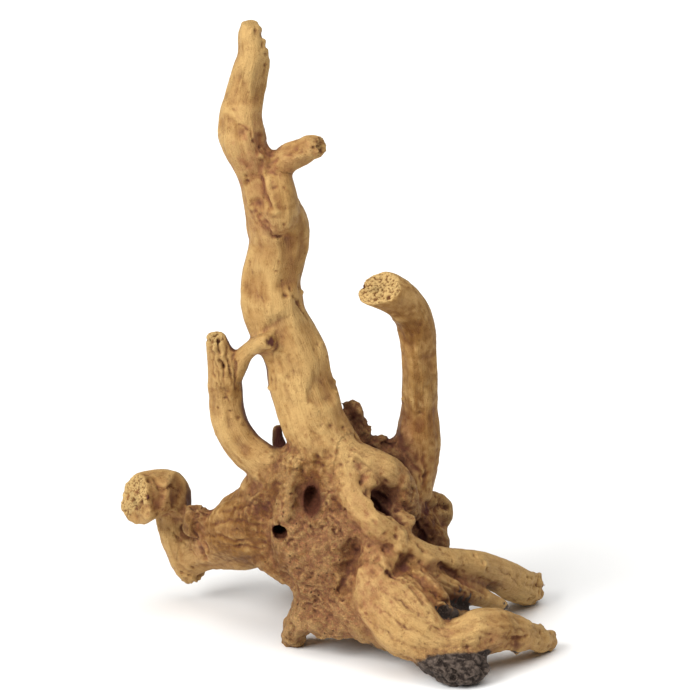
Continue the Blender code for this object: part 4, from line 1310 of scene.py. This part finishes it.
# Painted shade on the hook, the elbow root, the right sides and the hollows
SHADE_DABS = [
    (236, 528, 18, 1.0), (212, 540, 13, 0.9), (256, 542, 14, 0.9), (236, 556, 15, 0.95),
    (278, 562, 9, 0.5), (263, 512, 8, 0.9), (312, 500, 9, 0.8), (273, 341, 3.5, 1.0), (430, 528, 14, 1.0),
    (405, 500, 9, 0.7), (460, 604, 10, 1.0), (436, 596, 8, 0.8), (225, 515, 8, 0.4), (188, 530, 8, 0.5),
    (310, 480, 9, 0.8), (318, 462, 6, 0.7), (275, 490, 9, 0.8), (337, 506, 5, 0.7), (352, 560, 8, 0.8),
    (343, 585, 8, 0.7), (403, 566, 8, 0.9), (390, 533, 4, 0.4), (262, 95, 9, 0.25), (285, 200, 12, 0.5),
    (298, 235, 9, 0.6), (296, 270, 6, 0.4), (420, 330, 20, 0.9), (420, 380, 16, 0.7), (425, 430, 16, 0.8),
    (395, 305, 12, 1.0), (434, 460, 10, 0.7), (235, 390, 7, 0.7), (240, 560, 14, 0.7), (185, 530, 9, 0.3),
    (215, 540, 9, 0.4), (278, 565, 10, 0.4), (330, 380, 6, 0.5), (510, 632, 8, 0.5), (300, 470, 6, 0.2),
]
# Dark cut end of the small root, and painted shadow, as dark as the base, between the lower roots and
# under the front root's edge
CHARRED_AND_SHADOW_DABS = [
    (443, 612, 6.6, 1.0), (457, 607, 6.5, 1.0), (451, 606, 4, 1.0), (452, 616, 4, 1.0),
    (466, 606, 5.0, 1.0), (509, 609, 3.0, 0.9), (340, 643, 3.2, 0.9), (332, 645, 3.0, 0.8),
    (373, 645, 2.0, 0.8), (382, 651, 2.0, 0.8), (393, 656, 2.0, 0.7), (404, 660, 2.4, 0.8),
    (517, 653, 3.4, 0.9), (541, 655, 3.0, 0.6),
]
# Painted shade that deepens the hollows
DEEP_SHADE_DABS = [
    (257, 510, 6, 0.5), (268, 504, 4, 0.5), (355, 560, 8, 0.45), (345, 580, 7, 0.45), (312, 486, 6, 0.5),
    (403, 446, 6, 0.5), (413, 468, 6, 0.5), (200, 550, 5, 0.6), (395, 505, 9, 0.5), (404, 566, 5, 0.7),
    (272, 342, 2.8, 0.95), (425, 528, 9, 0.6), (252, 212, 5, 0.4), (268, 232, 6, 0.4), (362, 432, 7, 0.4),
    (427, 512, 4, 0.8), (516, 646, 5, 0.6), (460, 600, 8, 0.7), (340, 508, 4, 0.5),
]
DABS = {"pink": PINK_AND_SHADE_DABS, "gold": GOLD_AND_LIGHT_DABS, "shade": SHADE_DABS}
print(sum(len(dabs) for dabs in (*DABS.values(), CHARRED_AND_SHADOW_DABS, DEEP_SHADE_DABS)), "dabs of colour")


# %% Keep the measurements on the skin
CLOSE_ROUNDS = 5
CREVICE_DEPTH = 0.5
EDGE_HEIGHT = 0.4
VALLEY_DEPTH = 2.2
WIDE_ROUNDS = 70
DARK_LIMB = "dark base"
DAB_PATCH = 3.0
DAB_WANDER = 1.3
HOLE_RIM = 0.8
MOUTH_DEPTH = 9.0
MOUTH_FADE = 4
HOLE_MARGIN = 1.2
HOLE_END = 1.35
HOLE_FADE = 0.4
HOLE_FRONT = 1.3
HOLD_WIDTH = 3.0


def painted(tree, places, dabs):
    """Share of a colour that its dabs give each point, from 0 to 1."""
    left = np.ones(len(places))
    wander = np.exp(DAB_WANDER * waves(places / MM / DAB_PATCH))
    for x, y, radius, strength in dabs:
        spot = on_the_skin(tree, x, y)
        if spot is not None:
            away = np.linalg.norm(places - np.array(spot), axis=1) / (radius * MM)
            left *= 1 - strength * np.exp(-(away * wander) ** 2)
    return 1 - left


def painted_hole_shade(places):
    """Share of painted shade inside the holes: along the drill's axis behind its mouth, and in the oval
    hole.
    """
    start = np.array(seen_point(*DRILL_START)) / MM
    offset = places / MM - start
    beside = np.hypot(offset[:, 0], offset[:, 2])
    behind_mouth = np.clip((offset[:, 1] - MOUTH_DEPTH) / MOUTH_FADE, 0, 1)
    drilled = (beside < DRILL_RADIUS + HOLE_RIM) * behind_mouth
    spot, lean, half_sizes = HOLLOWS["oval hole"]
    turned = np.array(leaned(spot, lean).inverted())
    local = (places @ turned[:3, :3].T + turned[:3, 3]) / MM / (np.array(half_sizes) + HOLE_MARGIN)
    inside = np.clip((HOLE_END - np.linalg.norm(local, axis=1)) / HOLE_FADE, 0, 1)
    inside *= np.clip(local[:, 1] + HOLE_FRONT, 0, 1)
    return np.maximum(drilled, inside)


def keep(mesh, name, values):
    """Store one number for each skin point under a name that materials can read."""
    mesh.attributes.new(name, "FLOAT", "POINT").data.foreach_set("value", values.astype(np.float32))


def measure(wood):
    """Store on the skin all that the wood material reads."""
    mesh = wood.data
    places, normals, links = positions_of(mesh), normals_of(mesh), links_of(mesh)
    count = len(places)
    found = survey(places)
    tree = skin_tree(mesh)
    close = depth_below(places, normals, links, CLOSE_ROUNDS)
    wide = depth_below(places, normals, links, WIDE_ROUNDS)
    # Shelter is kept for painted shade: darker where the wood hides the sky, deeper still under the deep
    # dabs
    shelter = shelter_of(mesh, places, normals)
    shelter = neighbour_mean(shelter[:, None], links, 2)[:, 0]
    shelter = np.maximum(shelter, painted(tree, places, DEEP_SHADE_DABS))
    knobbly = np.clip(shared(found, count, knobbliness), 0, 1)
    names = list(LIMBS)
    dark = shared(found, count, lambda order, turn, *rest:
                  np.full(len(turn), float(names[order] == DARK_LIMB)))
    # Edge and crest are kept for painted highlight, crevice and valley for painted shade
    for name, depth in (("crevice", close / CREVICE_DEPTH), ("edge", -close / EDGE_HEIGHT),
                        ("valley", wide / VALLEY_DEPTH), ("crest", -wide / VALLEY_DEPTH)):
        keep(mesh, name, np.clip(depth, 0, 1))
    keep(mesh, "shelter", shelter)
    keep(mesh, "knobbly", knobbly)
    keep(mesh, "sawn", sawn_share(places, normals))
    # Nearly black base, and painted shadow from the dabs between the lower roots
    keep(mesh, "charred_and_shadow", np.maximum(dark, painted(tree, places, CHARRED_AND_SHADOW_DABS)))
    # Painted shade inside the holes
    keep(mesh, "hole", painted_hole_shade(places))
    for name, dabs in DABS.items():
        keep(mesh, name, painted(tree, places, dabs))
    least = np.full(count, GRAIN_REACH)
    second = np.full(count, GRAIN_REACH)
    grain = np.zeros((count, 3))
    for order, (near, gap, turn, run, width, length) in enumerate(found):
        closer = gap < least[near]
        second[near] = np.where(closer, least[near], np.minimum(second[near], gap))
        spots = round_and_along(order, turn, run, width, 1.0, 1.0)
        grain[near[closer]] = spots[closer]
        least[near] = np.minimum(least[near], gap)
    keep(mesh, "hold", np.clip((second - least) / HOLD_WIDTH, 0, 1))
    flow = mesh.attributes.new("grain", "FLOAT_VECTOR", "POINT")
    flow.data.foreach_set("vector", grain.astype(np.float32).ravel())
    print("shelter is %.2f on average" % shelter.mean())


measure(wood)

# %% [markdown]
# ## The wood material
# One material colours the whole piece. It starts from tan and pale gold, with painted
# highlight on edges and crests, adds the pink flush, streaks it along the grain, and then
# works from light to dark with painted shade: shade dabs, hollows, crevices, holes. The
# sawn faces, with painted shade in their crevices, and the nearly black base have colours
# of their own; the base colour is also laid as painted shadow between the lower roots.
# Small helper functions keep the node graph short to write and easy to read.

# %% Helpers for shader nodes
def new_material(name):
    """An empty node material, its shader, and its node tree."""
    made = bpy.data.materials.new(name)
    made.use_nodes = True
    return made, made.node_tree.nodes["Principled BSDF"], made.node_tree


def plug(tree, socket, value):
    """Connect a socket, or set it to a plain value."""
    if isinstance(value, bpy.types.NodeSocket):
        tree.links.new(value, socket)
    else:
        socket.default_value = value


def reading(tree, name):
    """A number that was kept on the skin."""
    node = tree.nodes.new("ShaderNodeAttribute")
    node.attribute_name = name
    return node.outputs["Fac"]


def computed(tree, operation, a, b, clamp=True):
    """Arithmetic on two values, kept between 0 and 1 unless told otherwise."""
    node = tree.nodes.new("ShaderNodeMath")
    node.operation = operation
    node.use_clamp = clamp
    plug(tree, node.inputs[0], a)
    plug(tree, node.inputs[1], b)
    return node.outputs[0]


def times(tree, a, b):
    """One value times another, kept between 0 and 1."""
    return computed(tree, "MULTIPLY", a, b)


def plus(tree, a, b):
    """The sum of two values, kept between 0 and 1."""
    return computed(tree, "ADD", a, b)


def blended(tree, share, first, second, kind="MIX"):
    """First colour with a share of the second over it."""
    node = tree.nodes.new("ShaderNodeMix")
    node.data_type = "RGBA"
    node.blend_type = kind
    plug(tree, node.inputs["Factor"], share)
    plug(tree, node.inputs["A"], first)
    plug(tree, node.inputs["B"], second)
    return node.outputs["Result"]


def between(tree, value, low, high):
    """The value stretched so that low becomes 0 and high becomes 1."""
    node = tree.nodes.new("ShaderNodeMapRange")
    node.clamp = True
    plug(tree, node.inputs["Value"], value)
    node.inputs["From Min"].default_value = low
    node.inputs["From Max"].default_value = high
    return node.outputs["Result"]


def spaced(tree, coordinates, scale):
    """A node that scales coordinates along each axis."""
    node = tree.nodes.new("ShaderNodeMapping")
    plug(tree, node.inputs["Vector"], coordinates)
    node.inputs["Scale"].default_value = scale
    return node


def speckle(tree, coordinates, size, stretch=(1, 1, 1), detail=3.0, roughness=0.55, swirl=0.0):
    """Random texture with marks of one size, stretched along some axes, swirled or not."""
    scaled = spaced(tree, coordinates, [1 / (size * part) for part in stretch])
    node = tree.nodes.new("ShaderNodeTexNoise")
    node.inputs["Scale"].default_value = 1.0
    node.inputs["Detail"].default_value = detail
    node.inputs["Roughness"].default_value = roughness
    node.inputs["Distortion"].default_value = swirl
    tree.links.new(scaled.outputs["Vector"], node.inputs["Vector"])
    return node.outputs["Fac"]


# %% Colours of the wood
PALE_GOLD = (0.580, 0.370, 0.140, 1)
TAN = (0.375, 0.200, 0.062, 1)
PINK_BROWN = (0.350, 0.150, 0.064, 1)
WARM_BROWN = (0.185, 0.074, 0.014, 1)
PURPLE_BROWN = (0.105, 0.034, 0.024, 1)
DARK_CREVICE = (0.040, 0.014, 0.007, 1)
SAWN_PALE = (0.56, 0.37, 0.145, 1)
# Pores of the sawn face, also painted shade in its crevices
SAWN_PORE_AND_SHADE = (0.17, 0.075, 0.022, 1)
# Painted shade: dark tint laid over the shade dabs
SHADE_TINT = (0.60, 0.48, 0.32, 1)
# Nearly black base, also laid as painted shadow between the lower roots
CHARRED_AND_SHADOW_BLACK = (0.035, 0.024, 0.019, 1)
# Flecks on the base, and painted highlight on its edges
CHARRED_FLECK_AND_EDGE_LIGHT = (0.22, 0.165, 0.13, 1)
# Painted shade inside the holes
HOLE_SHADE_RED = (0.110, 0.034, 0.016, 1)


def creased(tree, wave):
    """Turn a random wave into thin creases: 1 in a crease, 0 away from it."""
    away = computed(tree, "ABSOLUTE", computed(tree, "SUBTRACT", wave, 0.5, clamp=False), 0.0)
    return between(tree, away, 0.055, 0.0)


def small_pits(tree, coordinates, apart, size, share):
    """Small round pits, one in a share of the cells: 1 in a pit, 0 outside."""
    scaled = spaced(tree, coordinates, [1 / apart] * 3)
    node = tree.nodes.new("ShaderNodeTexVoronoi")
    node.inputs["Scale"].default_value = 1.0
    tree.links.new(scaled.outputs["Vector"], node.inputs["Vector"])
    luck = tree.nodes.new("ShaderNodeSeparateColor")
    tree.links.new(node.outputs["Color"], luck.inputs["Color"])
    lucky = between(tree, luck.outputs["Red"], share + 0.02, share)
    return times(tree, between(tree, node.outputs["Distance"], size, size * 0.45), lucky)


def wood_material():
    """Coffee root wood, from pale gold ridges to purple hollows."""
    made, shader, tree = new_material("coffee_root_wood")
    grain = tree.nodes.new("ShaderNodeAttribute")
    grain.attribute_name = "grain"
    grain = grain.outputs["Vector"]
    place = tree.nodes.new("ShaderNodeTexCoord").outputs["Object"]
    along = speckle(tree, grain, 3.2, (1, 1, 10), 5.0, roughness=0.6)
    fine = speckle(tree, grain, 0.9, (1, 1, 8), 4.0, roughness=0.6)
    broad = speckle(tree, place, 0.018, detail=3.0)
    patchy = speckle(tree, place, 0.0065, detail=6.0, roughness=0.7)
    skin = speckle(tree, place, 0.0024, detail=5.0, roughness=0.65, swirl=1.4)
    thread = creased(tree, speckle(tree, place, 0.0034, detail=3.0, swirl=2.2))
    pores = small_pits(tree, place, 0.0042, 0.17, 0.45)
    grit = speckle(tree, place, 0.0009, detail=2.0)
    hold = reading(tree, "hold")
    knobbly = reading(tree, "knobbly")
    crevice = reading(tree, "crevice")
    wrinkled = between(tree, knobbly, 0.1, 0.75)
    brushed = times(tree, hold, between(tree, broad, 0.38, 0.60))

    # Painted highlight on crests and painted light from the gold dabs, with a random pale tone
    golden = plus(tree, reading(tree, "gold"), times(tree, reading(tree, "crest"), 0.8))
    golden = plus(tree, times(tree, golden, 0.8), between(tree, broad, 0.52, 0.85))
    colour = blended(tree, golden, TAN, PALE_GOLD)
    # Pink flush of the mass, and painted shade in the valleys
    pink = plus(tree, reading(tree, "pink"), times(tree, knobbly, 0.65))
    pink = plus(tree, pink, times(tree, reading(tree, "valley"), 0.9))
    pink = times(tree, pink, between(tree, patchy, 0.25, 0.5))
    colour = blended(tree, pink, colour, PINK_BROWN)
    # Painted shade from the shade dabs
    shade = times(tree, reading(tree, "shade"), between(tree, broad, 0.15, 0.5))
    colour = blended(tree, times(tree, shade, 0.5), colour, WARM_BROWN)

    streaks = times(tree, between(tree, along, 0.50, 0.74), hold)
    hairs = times(tree, between(tree, fine, 0.54, 0.70), brushed)
    rubbed = times(tree, between(tree, fine, 0.46, 0.3), brushed)
    creases = times(tree, creased(tree, skin), plus(tree, wrinkled, 0.12))
    ridges = times(tree, between(tree, skin, 0.58, 0.72), wrinkled)
    light_lines = times(tree, thread, plus(tree, wrinkled, 0.1))
    specks = times(tree, between(tree, grit, 0.58, 0.68), between(tree, patchy, 0.4, 0.6))
    # Grain and texture layers; the edge layer is painted highlight on raised edges
    for layer, strength, tone in ((between(tree, patchy, 0.5, 0.78), 0.5, WARM_BROWN),
                                  (streaks, 0.5, WARM_BROWN), (hairs, 0.4, WARM_BROWN),
                                  (rubbed, 0.35, PALE_GOLD), (reading(tree, "edge"), 0.55, PALE_GOLD),
                                  (creases, 0.65, PURPLE_BROWN), (ridges, 0.4, TAN),
                                  (light_lines, 0.4, PALE_GOLD), (specks, 0.7, WARM_BROWN)):
        colour = blended(tree, times(tree, layer, strength), colour, tone)
    holes = times(tree, pores, plus(tree, wrinkled, 0.15))
    colour = blended(tree, holes, colour, DARK_CREVICE)

    # Painted shade: a dark tint over all details under the shade dabs
    colour = blended(tree, shade, colour, SHADE_TINT, kind="MULTIPLY")
    # Painted shade: darker where the wood hides the sky, in crevices, and darkest in deep crevices
    sheltered = between(tree, reading(tree, "shelter"), 0.26, 0.74)
    colour = blended(tree, sheltered, colour, PURPLE_BROWN)
    crevice_shade = times(tree, crevice, between(tree, patchy, 0.2, 0.6))
    colour = blended(tree, times(tree, crevice_shade, 0.75), colour, PURPLE_BROWN)
    colour = blended(tree, between(tree, crevice, 0.8, 1.8), colour, DARK_CREVICE)

    # The sawn face: painted shade in its crevices, and random pores
    cut_face = blended(tree, between(tree, crevice, 0.1, 0.8), SAWN_PALE, SAWN_PORE_AND_SHADE)
    cut_face = blended(tree, between(tree, grit, 0.55, 0.7), cut_face, SAWN_PORE_AND_SHADE)
    colour = blended(tree, reading(tree, "sawn"), colour, cut_face)
    # Nearly black base with random flecks and painted highlight on its edges, also laid as painted shadow
    # between the lower roots
    edge_light_and_flecks = plus(tree, reading(tree, "edge"), between(tree, grit, 0.58, 0.7))
    base_and_shadow_black = blended(tree, times(tree, edge_light_and_flecks, 0.7), CHARRED_AND_SHADOW_BLACK, CHARRED_FLECK_AND_EDGE_LIGHT)
    base_and_shadow_share = plus(tree, reading(tree, "charred_and_shadow"), times(tree, patchy, 0.5))
    base_and_shadow_share = between(tree, base_and_shadow_share, 0.70, 0.85)
    colour = blended(tree, base_and_shadow_share, colour, base_and_shadow_black)
    # Painted shade inside the holes
    colour = blended(tree, reading(tree, "hole"), colour, HOLE_SHADE_RED)
    tree.links.new(colour, shader.inputs["Base Color"])

    rough = plus(tree, 0.40, times(tree, patchy, 0.45))
    plug(tree, shader.inputs["Roughness"], between(tree, rough, 0.0, 1.0))
    shader.inputs["Specular IOR Level"].default_value = 0.15
    fibre_bump = blended(tree, brushed, along, fine)
    height = blended(tree, wrinkled, fibre_bump, skin)
    height = blended(tree, 0.25, height, grit)
    height = blended(tree, times(tree, light_lines, 0.6), height, (1, 1, 1, 1))
    height = blended(tree, holes, height, (0, 0, 0, 1))
    bump = tree.nodes.new("ShaderNodeBump")
    bump.inputs["Strength"].default_value = 1.0
    bump.inputs["Distance"].default_value = 0.0016
    tree.links.new(height, bump.inputs["Height"])
    tree.links.new(bump.outputs["Normal"], shader.inputs["Normal"])
    return made


wood.data.materials.clear()
wood.data.materials.append(wood_material())
print("nodes in the wood material:", len(wood.data.materials[0].node_tree.nodes))

# %% [markdown]
# ## The studio
# The wood stands on a plain pale floor under one large soft light from the front left and
# a weaker one from above, with a dim warm room around it. Sun lamps with a wide angle act
# like very large softboxes: they light the whole floor evenly.

# %% Floor, lights, room and camera
CAMERA_DISTANCE = 6.0
SENSOR = 36.0
FLOOR_REACH = 12
PAPER_WHITE = (0.94, 0.94, 0.93, 1)
ROOM_COLOUR = (1.0, 0.965, 0.92, 1)
ROOM_STRENGTH = 0.15
SUNS = {
    "key": ((-0.85, -0.68, 0.80), 3.1, 36),
    "top": ((0.12, -0.30, 1.0), 2.1, 60),
}


def pale_floor():
    """A wide pale floor at the level of the feet."""
    shape = bmesh.new()
    bmesh.ops.create_grid(shape, x_segments=1, y_segments=1, size=FLOOR_REACH)
    floor = shaped("floor", shape)
    made, shader, tree = new_material("pale_paper")
    shader.inputs["Base Color"].default_value = PAPER_WHITE
    shader.inputs["Roughness"].default_value = 0.9
    floor.data.materials.append(made)


def soft_sun(name, toward, strength, spread):
    """A sun lamp that shines from a direction, with soft shadows."""
    data = bpy.data.lights.new(name, "SUN")
    data.energy = strength
    data.angle = math.radians(spread)
    lamp = linked(name, data)
    lamp.rotation_euler = Vector(toward).to_track_quat("Z", "Y").to_euler()


pale_floor()
for name, (toward, strength, spread) in SUNS.items():
    soft_sun(name, toward, strength, spread)
room = bpy.data.worlds.new("room")
room.use_nodes = True
background = room.node_tree.nodes["Background"]
background.inputs["Color"].default_value = ROOM_COLOUR
background.inputs["Strength"].default_value = ROOM_STRENGTH
bpy.context.scene.world = room
bpy.context.scene.view_settings.view_transform = "Standard"

lens = bpy.data.cameras.new("camera")
lens.sensor_width = SENSOR
lens.lens = SENSOR * CAMERA_DISTANCE / (PICTURE * PIXEL * MM)
lens.clip_end = 100
camera = linked("camera", lens)
camera.location = middle + TOWARD_CAMERA * CAMERA_DISTANCE
camera.rotation_euler = TOWARD_CAMERA.to_track_quat("Z", "Y").to_euler()
bpy.context.scene.camera = camera
print("lens of %.0f mm" % lens.lens)

# %% [markdown]
# ## Hand over
# The finished piece stands in for the plain model's one node and moves with its one body.

# %% Tie the piece to the model
wood.name = "coffee_root_piece"
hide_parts("coffee_root")
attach(wood, "root")
